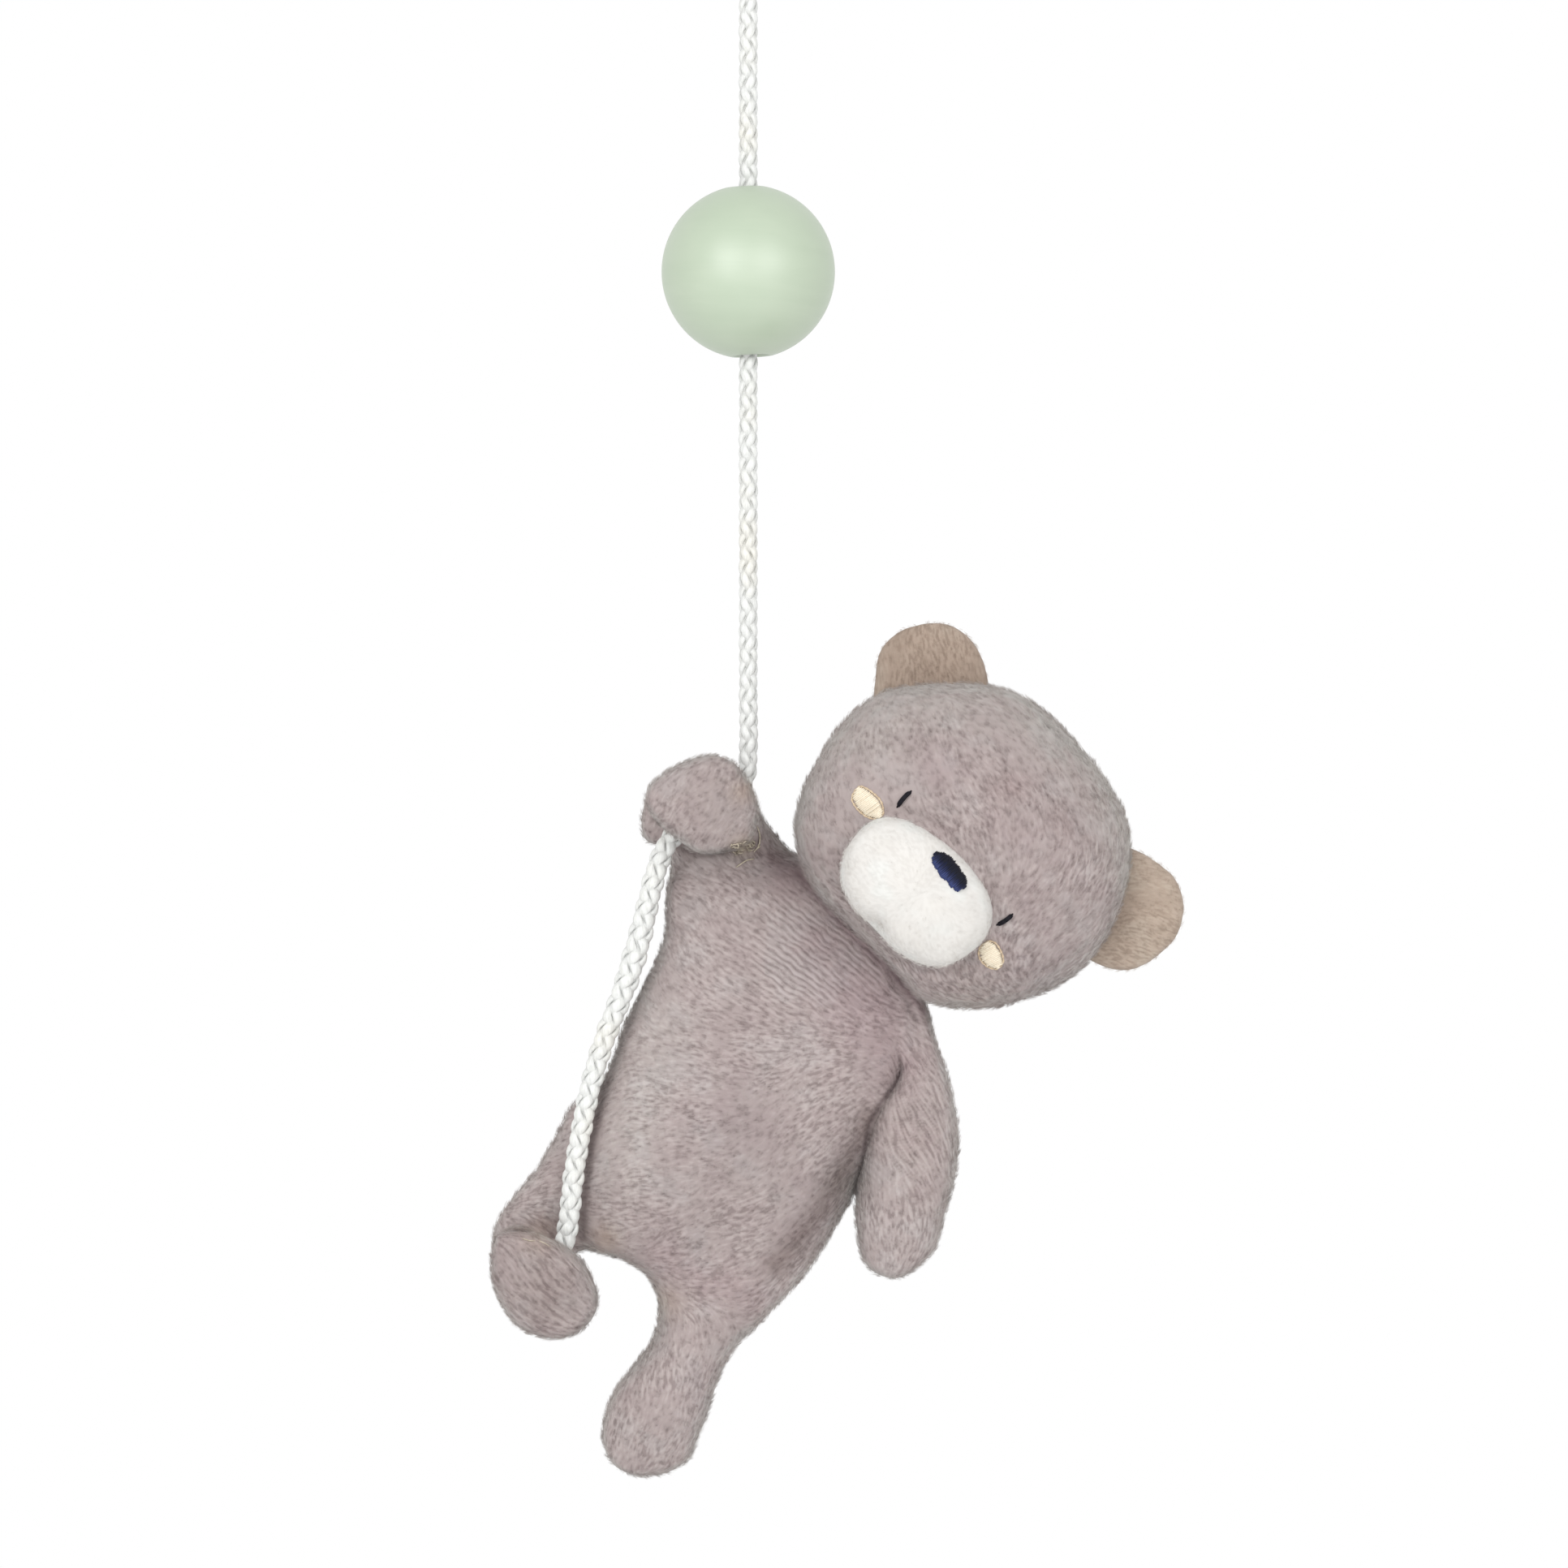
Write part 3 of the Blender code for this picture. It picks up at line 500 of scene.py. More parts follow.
def edges_of(faces, count):
    f = np.asarray(faces)
    pairs = np.vstack([f[:, [k, (k + 1) % f.shape[1]]] for k in range(f.shape[1])])
    pairs = np.unique(np.sort(pairs, axis=1), axis=0)
    degree = np.bincount(pairs.ravel(), minlength=count).astype(float)
    return pairs, np.maximum(degree, 1.0)


def relax(verts, faces, rounds, amount=0.5):
    """Evens the surface out without shrinking it much."""
    pairs, degree = edges_of(faces, len(verts))
    v = verts.copy()
    for r in range(rounds):
        for f in (amount, -amount * 1.04):
            s = np.zeros_like(v)
            np.add.at(s, pairs[:, 0], v[pairs[:, 1]])
            np.add.at(s, pairs[:, 1], v[pairs[:, 0]])
            v = v + f * (s / degree[:, None] - v)
    return v


def normals_of(verts, faces):
    f = np.asarray(faces)
    cross = np.cross(verts[f[:, 2]] - verts[f[:, 0]], verts[f[:, 3]] - verts[f[:, 1]])
    n = np.zeros_like(verts)
    for k in range(4):
        np.add.at(n, f[:, k], cross)
    return n / np.maximum(np.linalg.norm(n, axis=1)[:, None], 1e-12)


def lattice(p, seed):
    """Smooth noise of points, -1 to 1, by a hashed lattice."""
    p = np.asarray(p, float)
    i = np.floor(p).astype(np.int64)
    f = p - i
    w = f * f * f * (f * (f * 6 - 15) + 10)
    total = np.zeros(len(p))
    for a in (0, 1):
        for b in (0, 1):
            for c in (0, 1):
                h = ((i[:, 0] + a) * 374761393 + (i[:, 1] + b) * 668265263 + (i[:, 2] + c) * 2147483647 + seed * 144269504) & 0xFFFFFFFF
                h = ((h ^ (h >> 13)) * 1274126177) & 0xFFFFFFFF
                h = ((h ^ (h >> 16)) * 2246822519) & 0xFFFFFFFF
                value = (h & 0xFFFFFF) / float(0xFFFFFF) * 2 - 1
                total += value * np.where(a, w[:, 0], 1 - w[:, 0]) * np.where(b, w[:, 1], 1 - w[:, 1]) * np.where(c, w[:, 2], 1 - w[:, 2])
    return total


def nap_field(verts, direction):
    """The lie of the pile at each point, a little unsteady, as a unit vector."""
    v = np.asarray(verts, float)
    d = np.array(direction(v), float)
    d = np.broadcast_to(d, v.shape).copy()
    turn = 0.26 * lattice(v / 8.0, 5) + 0.22 * lattice(v / 2.6, 6)
    c, s = np.cos(turn), np.sin(turn)
    x = d[:, 0] * c - d[:, 2] * s
    z = d[:, 0] * s + d[:, 2] * c
    d[:, 0], d[:, 2] = x, z
    return d / np.linalg.norm(d, axis=1)[:, None]


def pile_relief(verts, depth=0.10, seed=21):
    """The unevenness of a stuffed pile cloth, as an outward move in mm."""
    v = np.asarray(verts, float)
    paw = np.exp(-(((v[:, 0] + 4.5) / 8.0) ** 2 + ((v[:, 2] - 187.0) / 8.0) ** 2) ** 2)
    return (0.26 * lattice(v / 14.0, seed + 8) + 0.12 * lattice(v / 6.0, seed + 5) + depth * lattice(v / 1.7, seed + 3)
            + 0.42 * paw * lattice(v / 4.0, seed + 2))


def smooth(x, low, high):
    t = np.clip((x - low) / (high - low), 0, 1)
    return t * t * (3 - 2 * t)


# stains, and light and shade painted on the front: painted shade in the folds and creases, under the head and the paw,
# beside the arm and the cord, and over the lower belly and the lower head; painted light where the edges are paler:
# (right, down, radius, (red, green, blue) share of the cloth's own colour)
# painted shadow in the crease between the free arm and the body
ARM_CREASE_PAINTED_SHADOW = ([(27.6, 232.6), (25.6, 236.2), (22.9, 239.5), (20.8, 243.2), (19.8, 249.8), (18.8, 256.0)], 0.5, (0.48, 0.44, 0.45))
PAINTED_LIGHT_SHADE_AND_STAINS = [
    # painted shade on the chest under the head, in the notch by the paw and on the belly; the warm blobs are stains
    (20.5, 221.5, 8.5, (0.95, 0.885, 0.92)), (25.0, 233.0, 5.5, (0.94, 0.89, 0.91)),
    (6.6, 199.0, 4.8, (0.72, 0.66, 0.68)), (16.9, 253.0, 4.2, (0.80, 0.82, 0.80)),
    (-24.6, 263.0, 2.6, (1.02, 0.97, 0.88)), (-14.0, 274.0, 2.8, (1.02, 0.98, 0.92)),
    (-36.0, 262.2, 2.8, (1.0, 0.95, 0.89)), (-1.0, 195.0, 2.0, (0.86, 0.82, 0.70)),
    (-0.9, 185.4, 2.0, (1.03, 0.99, 0.91)), (48.0, 219.0, 9.0, (0.91, 0.90, 0.91)),
    (52.0, 194.0, 10.0, (0.965, 0.95, 0.955)), (40.0, 184.0, 7.0, (0.985, 0.975, 0.975)),
    (-3.0, 243.0, 9.0, (0.90, 0.89, 0.90)), (12.0, 258.0, 9.0, (0.895, 0.895, 0.905)),
    (19.0, 248.0, 5.0, (0.90, 0.90, 0.91)), (-12.0, 262.0, 8.0, (0.945, 0.945, 0.95)),
    (-13.0, 214.0, 5.0, (1.02, 1.03, 1.03)), (-34.5, 271.0, 7.5, (0.73, 0.71, 0.70)), (-4.5, 187.0, 9.0, (0.885, 0.885, 0.88)), (-14.0, 306.0, 13.0, (0.95, 0.955, 0.955)),
    (-40.0, 262.0, 5.0, (0.93, 0.92, 0.92)), (-8.0, 290.0, 5.0, (0.95, 0.94, 0.95)),
    (13.0, 211.0, 5.0, (0.92, 0.88, 0.90)), (24.0, 262.0, 6.0, (1.03, 1.04, 1.04)),
    # painted shade under the head, across the hip and along the belly's right edge; painted light along the body's left
    # edge
    ([(8.5, 199.5), (14.0, 206.0), (20.0, 212.2), (26.4, 218.4), (30.6, 223.6)], 0.8, (0.74, 0.68, 0.70)),
    ([(-15.0, 266.5), (-7.0, 270.5), (1.4, 273.0)], 3.2, (0.93, 0.885, 0.90)),
    ([(20.8, 242.0), (17.5, 250.0), (12.0, 259.0), (5.0, 267.5)], 2.6, (0.635, 0.60, 0.59)),
    ([(-15.5, 226.0), (-18.5, 238.0), (-21.5, 250.0)], 6.0, (1.06, 1.10, 1.09)), (-2.0, 254.0, 8.0, (0.95, 0.955, 0.95)),
    (28.0, 246.0, 8.0, (0.965, 0.96, 0.95)), (40.0, 221.0, 6.0, (0.95, 0.93, 0.91)),
    (45.0, 185.0, 3.6, (0.92, 0.885, 0.885)), (54.5, 190.5, 3.2, (0.92, 0.895, 0.895)), (33.0, 181.5, 3.5, (0.96, 0.94, 0.955)),
    # painted light along the top of the head
    ([(20.0, 178.0), (28.0, 172.5), (38.0, 171.0), (48.0, 174.0), (56.0, 181.0), (62.0, 190.0), (65.0, 200.0)], 4.0, (1.01, 1.045, 1.03)),
    ARM_CREASE_PAINTED_SHADOW,
    # painted shadow under the paw's lower edge, and painted shade beside the paw
    ([(-12.6, 195.0), (-9.5, 196.3), (-6.5, 196.5), (-3.9, 195.9), (-2.2, 195.2)], 0.6, (0.50, 0.47, 0.47)),
    ([(1.2, 194.4), (3.0, 196.4), (6.5, 198.4)], 1.5, (0.82, 0.78, 0.79)),
    # painted shadow of the cord on the body, and painted shade in the crease over the foot
    ([(-17.4, 214.8), (-19.4, 221.0), (-21.8, 227.2), (-24.0, 233.6), (-25.6, 240.0), (-26.8, 246.2),
      (-27.8, 252.2), (-28.5, 258.4), (-28.9, 262.6)], 0.9, (0.60, 0.57, 0.57)),
    ([(-29.8, 259.6), (-33.0, 260.6), (-37.0, 260.6), (-41.0, 261.2)], 0.7, (0.80, 0.77, 0.76))]


def stroke_distance(right, down, points):
    best = np.full(len(right), 1e9)
    for (x0, y0), (x1, y1) in zip(points[:-1], points[1:]):
        dx, dy = x1 - x0, y1 - y0
        t = np.clip(((right - x0) * dx + (down - y0) * dy) / (dx * dx + dy * dy), 0, 1)
        best = np.minimum(best, (right - x0 - t * dx) ** 2 + (down - y0 - t * dy) ** 2)
    return best


def dress(piece, verts, faces, direction, tints=(), rim=(1.0, 1.0, 1.0), wales=None):
    """Gives a pile cloth its nap: a UV map whose V runs along it, its direction, its tints (stains, painted shade and
    painted light), a painted sheen where the cloth faces sideways, and in their alpha how far the pile lies in long
    even lines there."""
    mesh = piece.data
    f = np.asarray(faces)
    centre = verts[f].mean(axis=1)
    cross = np.cross(verts[f[:, 2]] - verts[f[:, 0]], verts[f[:, 3]] - verts[f[:, 1]])
    n = cross / np.maximum(np.linalg.norm(cross, axis=1)[:, None], 1e-12)

    def laid(at, normal):
        d = nap_field(at, direction)
        d = d - normal * np.sum(d * normal, axis=1)[:, None]
        length = np.linalg.norm(d, axis=1)[:, None]
        fallback = np.cross(normal, [1.0, 0.0, 0.0])
        fallback = fallback / np.maximum(np.linalg.norm(fallback, axis=1)[:, None], 1e-9)
        return np.where(length > 0.08, d / np.maximum(length, 1e-9), fallback)

    d = laid(centre, n)
    e = np.cross(n, d)
    rel = verts[f] - centre[:, None, :]
    uv = np.stack([np.sum(rel * e[:, None, :], axis=2), np.sum(rel * d[:, None, :], axis=2)], axis=2)
    layer = mesh.uv_layers.new(name="nap_uv")
    layer.data.foreach_set("uv", (uv.reshape(-1) * 0.1 + 0.5).astype(np.float32))

    corners = f.reshape(-1)
    at_vertex = laid(verts, normals_of(verts, f))
    way = at_vertex.copy()
    way[:, 2] *= -1.0
    colour = np.ones((len(verts), 4))
    colour[:, :3] = 0.5 + 0.5 * way
    lie = mesh.color_attributes.new(name="nap", type="BYTE_COLOR", domain="CORNER")
    lie.data.foreach_set("color", colour[corners].reshape(-1).astype(np.float32))
    share = np.ones((len(verts), 3))
    front = np.clip((9.0 - verts[:, 1]) / 6.0, 0, 1)
    # stains, painted shade and painted light, as blobs and strokes on the front
    for *place, radius, rgb in tints:
        far = (stroke_distance(verts[:, 0], verts[:, 2], place[0]) if len(place) == 1
               else (verts[:, 0] - place[0]) ** 2 + (verts[:, 2] - place[1]) ** 2)
        w = np.exp(-far / radius ** 2) * front
        share *= 1.0 + w[:, None] * (np.array(rgb) - 1.0)
    # painted sheen: where the cloth faces sideways its colour is multiplied by rim
    painted_sheen_weight = 1.0 - smooth(np.abs(normals_of(verts, f)[:, 1]), 0.20, 0.75)
    share *= 1.0 + painted_sheen_weight[:, None] * (np.array(rim) - 1.0)
    share *= (1.0 + 0.030 * lattice(verts / 5.0, 77) + 0.020 * lattice(verts / 2.2, 78))[:, None]
    colour[:, :3] = 0.5 * share
    colour[:, 3] = 1.0 if wales is None else np.clip(wales(verts), 0.0, 1.0)
    tint = mesh.color_attributes.new(name="tint", type="BYTE_COLOR", domain="CORNER")
    tint.data.foreach_set("color", colour[corners].reshape(-1).astype(np.float32))


def plush_piece(name, verts, faces, material, hair_material, direction, relief=0.10, tints=(), seed=21, rim=(1.0, 1.0, 1.0), wales=None):
    v = verts + normals_of(verts, faces) * pile_relief(verts, relief, seed)[:, None]
    piece = new_mesh(name, v, faces, material)
    piece.data.materials.append(hair_material)
    dress(piece, v, faces, direction, tints, rim, wales)
    return piece, v


def thin_near(piece, places, face_on=1.0):
    """A vertex group for the pile's density: for each (points, none, full), nothing within none mm, all beyond full mm,
    and face_on of it where the cloth faces front or back, so that the loose fibres show most on the outline."""
    group = piece.vertex_groups.new(name="pile")
    co = np.array([v.co for v in piece.data.vertices]) / MM
    co[:, 2] *= -1
    facing = smooth(np.abs(np.array([v.normal.y for v in piece.data.vertices])), 0.35, 0.80)
    w = 1.0 - (1.0 - face_on) * facing
    for points, none, full in places:
        best = np.full(len(co), 1e9)
        for p in points:
            best = np.minimum(best, np.sum((co - p) ** 2, axis=1))
        w = np.minimum(w, np.clip((np.sqrt(best) - none) / (full - none), 0, 1))
    for level in range(11):
        chosen = np.nonzero(np.round(w * 10).astype(int) == level)[0]
        if len(chosen):
            group.add(chosen.tolist(), level / 10.0, "REPLACE")
    return "pile"


def grow(piece, per_mm2, length, lift, thick, seed, children=6, spread=0.35, clump=0.55, rough=0.00008, area=None, group=None, random=0.2):
    """Short laid pile on a plush piece; length and thick in mm."""
    mesh = piece.data
    if area is None:
        area = sum(p.area for p in mesh.polygons) * 1e6
    mod = piece.modifiers.new("pile", "PARTICLE_SYSTEM")
    system = mod.particle_system
    s = system.settings
    system.seed = seed
    s.type = "HAIR"
    s.use_advanced_hair = True
    s.count = int(per_mm2 * area / (children + 1 if children else 1))
    s.hair_step = 3
    s.emit_from = "FACE"
    s.distribution = "RAND"
    s.use_emit_random = True
    s.use_even_distribution = True
    speed = length * MM / 4.0
    s.normal_factor = speed * math.sin(math.radians(lift))
    s.tangent_factor = -speed * math.cos(math.radians(lift))
    s.tangent_phase = 0.0
    s.factor_random = speed * random
    if group:
        system.vertex_group_density = group
    s.effector_weights.gravity = 0.0
    s.effector_weights.all = 0.0
    if children:
        s.child_type = "SIMPLE"
        s.child_percent = children
        s.rendered_child_count = children
        s.child_radius = spread * MM
        s.child_roundness = 1.0
        s.clump_factor = clump
        s.clump_shape = 0.1
        s.roughness_1 = rough
        s.roughness_1_size = 0.0006
        s.roughness_2 = rough * 0.8
        s.roughness_2_size = 0.0004
        s.roughness_endpoint = rough
        s.child_length = 1.0
    s.root_radius = 1.0
    s.tip_radius = 0.35
    s.radius_scale = thick * MM
    s.use_close_tip = False
    s.display_step = 2
    s.render_step = 2
    s.material = 2
    return mod


# ---------------------------------------------------------------- materials

def shader(name):
    m = bpy.data.materials.new(name)
    m.use_nodes = True
    nodes, links = m.node_tree.nodes, m.node_tree.links
    return m, nodes, links, nodes["Principled BSDF"]


def ramp(nodes, stops):
    r = nodes.new("ShaderNodeValToRGB")
    r.color_ramp.interpolation = "EASE"
    while len(r.color_ramp.elements) < len(stops):
        r.color_ramp.elements.new(0.5)
    for e, (at, colour) in zip(r.color_ramp.elements, stops):
        e.position = at
        e.color = (*colour, 1.0)
    return r


def noise_node(nodes, links, coords, scale, detail=3.0, rough=0.5, stretch=None, turn=None, distortion=0.0):
    source = coords
    if stretch is not None or turn is not None:
        m = nodes.new("ShaderNodeMapping")
        m.vector_type = "TEXTURE"
        m.inputs["Scale"].default_value = tuple(1.0 / k for k in (stretch or (1, 1, 1)))
        m.inputs["Rotation"].default_value = turn or (0, 0, 0)
        links.new(coords, m.inputs["Vector"])
        source = m.outputs["Vector"]
    n = nodes.new("ShaderNodeTexNoise")
    n.inputs["Scale"].default_value = scale
    n.inputs["Detail"].default_value = detail
    n.inputs["Roughness"].default_value = rough
    n.inputs["Distortion"].default_value = distortion
    links.new(source, n.inputs["Vector"])
    return n


def mix_colour(nodes, links, kind, factor, a, b):
    m = nodes.new("ShaderNodeMix")
    m.data_type = "RGBA"
    m.blend_type = kind
    m.inputs[0].default_value = factor if isinstance(factor, float) else 0.5
    if not isinstance(factor, float):
        links.new(factor, m.inputs[0])
    for value, socket in ((a, m.inputs[6]), (b, m.inputs[7])):
        if isinstance(value, tuple):
            socket.default_value = (*value, 1.0)
        else:
            links.new(value, socket)
    return m.outputs[2]


def laid_noise(nodes, links, scale, detail, samples, pitch):
    """Noise drawn out along the nap, whichever way it lies, by averaging along it."""
    coords = nodes.new("ShaderNodeTexCoord").outputs["Object"]
    lie = nodes.new("ShaderNodeAttribute")
    lie.attribute_name = "nap"
    way = nodes.new("ShaderNodeVectorMath")
    way.operation = "MULTIPLY_ADD"
    way.inputs[1].default_value = (2.0, 2.0, 2.0)
    way.inputs[2].default_value = (-1.0, -1.0, -1.0)
    links.new(lie.outputs["Color"], way.inputs[0])
    total = None
    for i in range(samples):
        step = nodes.new("ShaderNodeVectorMath")
        step.operation = "MULTIPLY_ADD"
        k = (i - (samples - 1) / 2.0) * pitch
        step.inputs[1].default_value = (k, k, k)
        links.new(way.outputs[0], step.inputs[0])
        links.new(coords, step.inputs[2])
        n = nodes.new("ShaderNodeTexNoise")
        n.inputs["Scale"].default_value = scale
        n.inputs["Detail"].default_value = detail
        n.inputs["Roughness"].default_value = 0.5
        links.new(step.outputs[0], n.inputs["Vector"])
        if total is None:
            total = n.outputs["Fac"]
        else:
            add = nodes.new("ShaderNodeMath")
            add.operation = "ADD"
            links.new(total, add.inputs[0])
            links.new(n.outputs["Fac"], add.inputs[1])
            total = add.outputs[0]
    mean = nodes.new("ShaderNodeMath")
    mean.operation = "MULTIPLY"
    mean.inputs[1].default_value = 1.0 / samples
    links.new(total, mean.inputs[0])
    return mean.outputs[0], coords


def tinted(nodes, links, colour, share=None):
    """Colour times the cloth's tint, which is stored at half its value."""
    if share is None:
        share = nodes.new("ShaderNodeAttribute")
        share.attribute_name = "tint"
    double = nodes.new("ShaderNodeVectorMath")
    double.operation = "SCALE"
    double.inputs["Scale"].default_value = 2.0
    links.new(share.outputs["Color"], double.inputs[0])
    return mix_colour(nodes, links, "MULTIPLY", 1.0, colour, double.outputs[0])


def patchy(nodes, links, coords, colour, tint):
    """Slow patches over a pile cloth, greyer in some places and the tint in others."""
    slow = noise_node(nodes, links, coords, 150.0, 2.0, 0.5)
    patches = ramp(nodes, [(0.36, (1.02, 1.045, 1.05)), (0.5, (1.0, 1.0, 1.0)), (0.66, tint)])
    links.new(slow.outputs["Fac"], patches.inputs["Fac"])
    return mix_colour(nodes, links, "MULTIPLY", 1.0, colour, patches.outputs["Color"])


def maths(nodes, links, kind, a, b=0.0, c=0.0):
    m = nodes.new("ShaderNodeMath")
    m.operation = kind
    for value, socket in zip((a, b, c), m.inputs):
        if isinstance(value, float):
            socket.default_value = value
        else:
            links.new(value, socket)
    return m.outputs[0]


def blend_value(nodes, links, factor, a, b):
    m = nodes.new("ShaderNodeMix")
    m.data_type = "FLOAT"
    for value, socket in ((factor, m.inputs[0]), (a, m.inputs[2]), (b, m.inputs[3])):
        links.new(value, socket)
    return m.outputs[0]


def quiet(nodes, links, coords, streaks, amount):
    """Streaks that fade in some places: their height pulled towards the middle."""
    where = noise_node(nodes, links, coords, 95.0, 1.0, 0.5)
    share = ramp(nodes, [(0.40, (amount, amount, amount)), (0.58, (1.0, 1.0, 1.0))])
    links.new(where.outputs["Fac"], share.inputs["Fac"])
    level = nodes.new("ShaderNodeMix")
    level.data_type = "FLOAT"
    links.new(share.outputs["Color"], level.inputs[0])
    level.inputs[2].default_value = 0.5
    links.new(streaks, level.inputs[3])
    return level.outputs[0]


def lined(nodes, links, streaks, share, scale=1700.0, samples=6, pitch=0.00055):
    """The same streaks, but drawn out into long even lines where the cloth's alpha says so. Over the chest
    the lines are the rows of the knitted ground, 1 mm apart, that run down to the right."""
    long, coords = laid_noise(nodes, links, scale, 0.0, samples, pitch)
    wide = maths(nodes, links, "MULTIPLY_ADD", long, 2.0, -0.5)
    apart = nodes.new("ShaderNodeSeparateXYZ")
    links.new(coords, apart.inputs[0])
    x, z = apart.outputs["X"], apart.outputs["Z"]
    bend = maths(nodes, links, "MULTIPLY", maths(nodes, links, "MULTIPLY_ADD", x, 4.2, 0.66), x)
    place = maths(nodes, links, "ADD", z, bend)
    wander = noise_node(nodes, links, coords, 300.0, 1.0, 0.5)
    phase = maths(nodes, links, "MULTIPLY_ADD", place, -2 * math.pi * 0.80 / 0.0010, 0.0)
    phase = maths(nodes, links, "MULTIPLY_ADD", wander.outputs["Fac"], 9.0, phase)
    wave = maths(nodes, links, "SINE", phase)
    strength = ramp(nodes, [(0.38, (0.03, 0.03, 0.03)), (0.60, (0.16, 0.16, 0.16))])
    links.new(long, strength.inputs["Fac"])
    rows = maths(nodes, links, "MULTIPLY_ADD", wave, strength.outputs["Color"], 0.5)
    rows = maths(nodes, links, "ADD", rows, maths(nodes, links, "MULTIPLY_ADD", streaks, 0.35, -0.175))
    chest = nodes.new("ShaderNodeMapRange")
    for socket, value in (("From Min", -0.024), ("From Max", -0.018), ("To Min", 0.0), ("To Max", 1.0)):
        chest.inputs[socket].default_value = value
    links.new(x, chest.inputs["Value"])
    sleeve = nodes.new("ShaderNodeMapRange")
    for socket, value in (("From Min", 0.022), ("From Max", 0.025), ("To Min", 1.0), ("To Max", 0.0)):
        sleeve.inputs[socket].default_value = value
    links.new(x, sleeve.inputs["Value"])
    both = blend_value(nodes, links, maths(nodes, links, "MULTIPLY", chest.outputs[0], sleeve.outputs[0]), wide, rows)
    return blend_value(nodes, links, share.outputs["Alpha"], streaks, both)


def bolder(nodes, links, streaks, share):
    """Streaks that are stronger where the cloth's alpha says so."""
    gain = maths(nodes, links, "MULTIPLY_ADD", share.outputs["Alpha"], 0.8, 0.65)
    return maths(nodes, links, "MULTIPLY_ADD", maths(nodes, links, "SUBTRACT", streaks, 0.5), gain, 0.5)


def plush_material(name, light, mid, dark, tint, scale=1700.0, samples=4, pitch=0.00026, sheen=0.12, bump=0.6, spread=0.10, bump_depth=0.00060, fade=0.45, lines=True):
    """Short pile: broken streaks along the nap, slow patches, and a fine bump."""
    m, nodes, links, bsdf = shader(name)
    share = nodes.new("ShaderNodeAttribute")
    share.attribute_name = "tint"
    streaks, coords = laid_noise(nodes, links, scale, 1.0, samples, pitch)
    streaks = quiet(nodes, links, coords, streaks, fade)
    streaks = lined(nodes, links, streaks, share) if lines else bolder(nodes, links, streaks, share)
    first = ramp(nodes, [(0.5 - spread, dark), (0.49, mid), (0.5 + spread, light)])
    links.new(streaks, first.inputs["Fac"])
    colour = patchy(nodes, links, coords, first.outputs["Color"], tint)
    links.new(tinted(nodes, links, colour, share), bsdf.inputs["Base Color"])
    bsdf.inputs["Roughness"].default_value = 0.95
    bsdf.inputs["Specular IOR Level"].default_value = 0.12
    bsdf.inputs["Sheen Weight"].default_value = sheen
    bsdf.inputs["Sheen Roughness"].default_value = 0.6
    b = nodes.new("ShaderNodeBump")
    b.inputs["Strength"].default_value = bump
    b.inputs["Distance"].default_value = bump_depth
    links.new(streaks, b.inputs["Height"])
    links.new(b.outputs["Normal"], bsdf.inputs["Normal"])
    return m


def pile_material(name, light, mid, dark, tint, scale=1700.0, samples=4, pitch=0.00026, spread=0.10, sheen=0.0, fade=0.45, lines=True):
    """The loose fibres of a pile: the cloth's own colours, broken from tuft to tuft."""
    m, nodes, links, bsdf = shader(name)
    share = nodes.new("ShaderNodeAttribute")
    share.attribute_name = "tint"
    streaks, coords = laid_noise(nodes, links, scale, 1.0, samples, pitch)
    streaks = quiet(nodes, links, coords, streaks, fade)
    streaks = lined(nodes, links, streaks, share) if lines else bolder(nodes, links, streaks, share)
    # a round fibre is half in its own shade, so it is paler than the cloth that it grows from
    dark, mid, light = (tuple(min(0.9, 1.18 * k) for k in c) for c in (dark, mid, light))
    r = ramp(nodes, [(0.5 - spread, dark), (0.49, mid), (0.5 + spread, light)])
    links.new(streaks, r.inputs["Fac"])
    links.new(tinted(nodes, links, patchy(nodes, links, coords, r.outputs["Color"], tint), share), bsdf.inputs["Base Color"])
    bsdf.inputs["Roughness"].default_value = 0.9
    bsdf.inputs["Specular IOR Level"].default_value = 0.12
    bsdf.inputs["Sheen Weight"].default_value = sheen
    return m


def cord_material(name):
    m, nodes, links, bsdf = shader(name)
    coords = nodes.new("ShaderNodeTexCoord").outputs["Object"]
    yarn = noise_node(nodes, links, coords, 2600.0, 2.0, 0.5, (1.0, 1.0, 0.25))
    soil = noise_node(nodes, links, coords, 60.0, 2.0, 0.5)
    r = ramp(nodes, [(0.3, (0.560, 0.567, 0.553)), (0.6, (0.655, 0.662, 0.648))])
    links.new(yarn.outputs["Fac"], r.inputs["Fac"])
    warm = ramp(nodes, [(0.45, (1.0, 1.0, 1.0)), (0.72, (1.0, 0.975, 0.93))])
    links.new(soil.outputs["Fac"], warm.inputs["Fac"])
    links.new(tinted(nodes, links, mix_colour(nodes, links, "MULTIPLY", 1.0, r.outputs["Color"], warm.outputs["Color"])), bsdf.inputs["Base Color"])
    bsdf.inputs["Roughness"].default_value = 0.42
    b = nodes.new("ShaderNodeBump")
    b.inputs["Strength"].default_value = 0.5
    b.inputs["Distance"].default_value = 0.00012
    links.new(yarn.outputs["Fac"], b.inputs["Height"])
    links.new(b.outputs["Normal"], bsdf.inputs["Normal"])
    return m


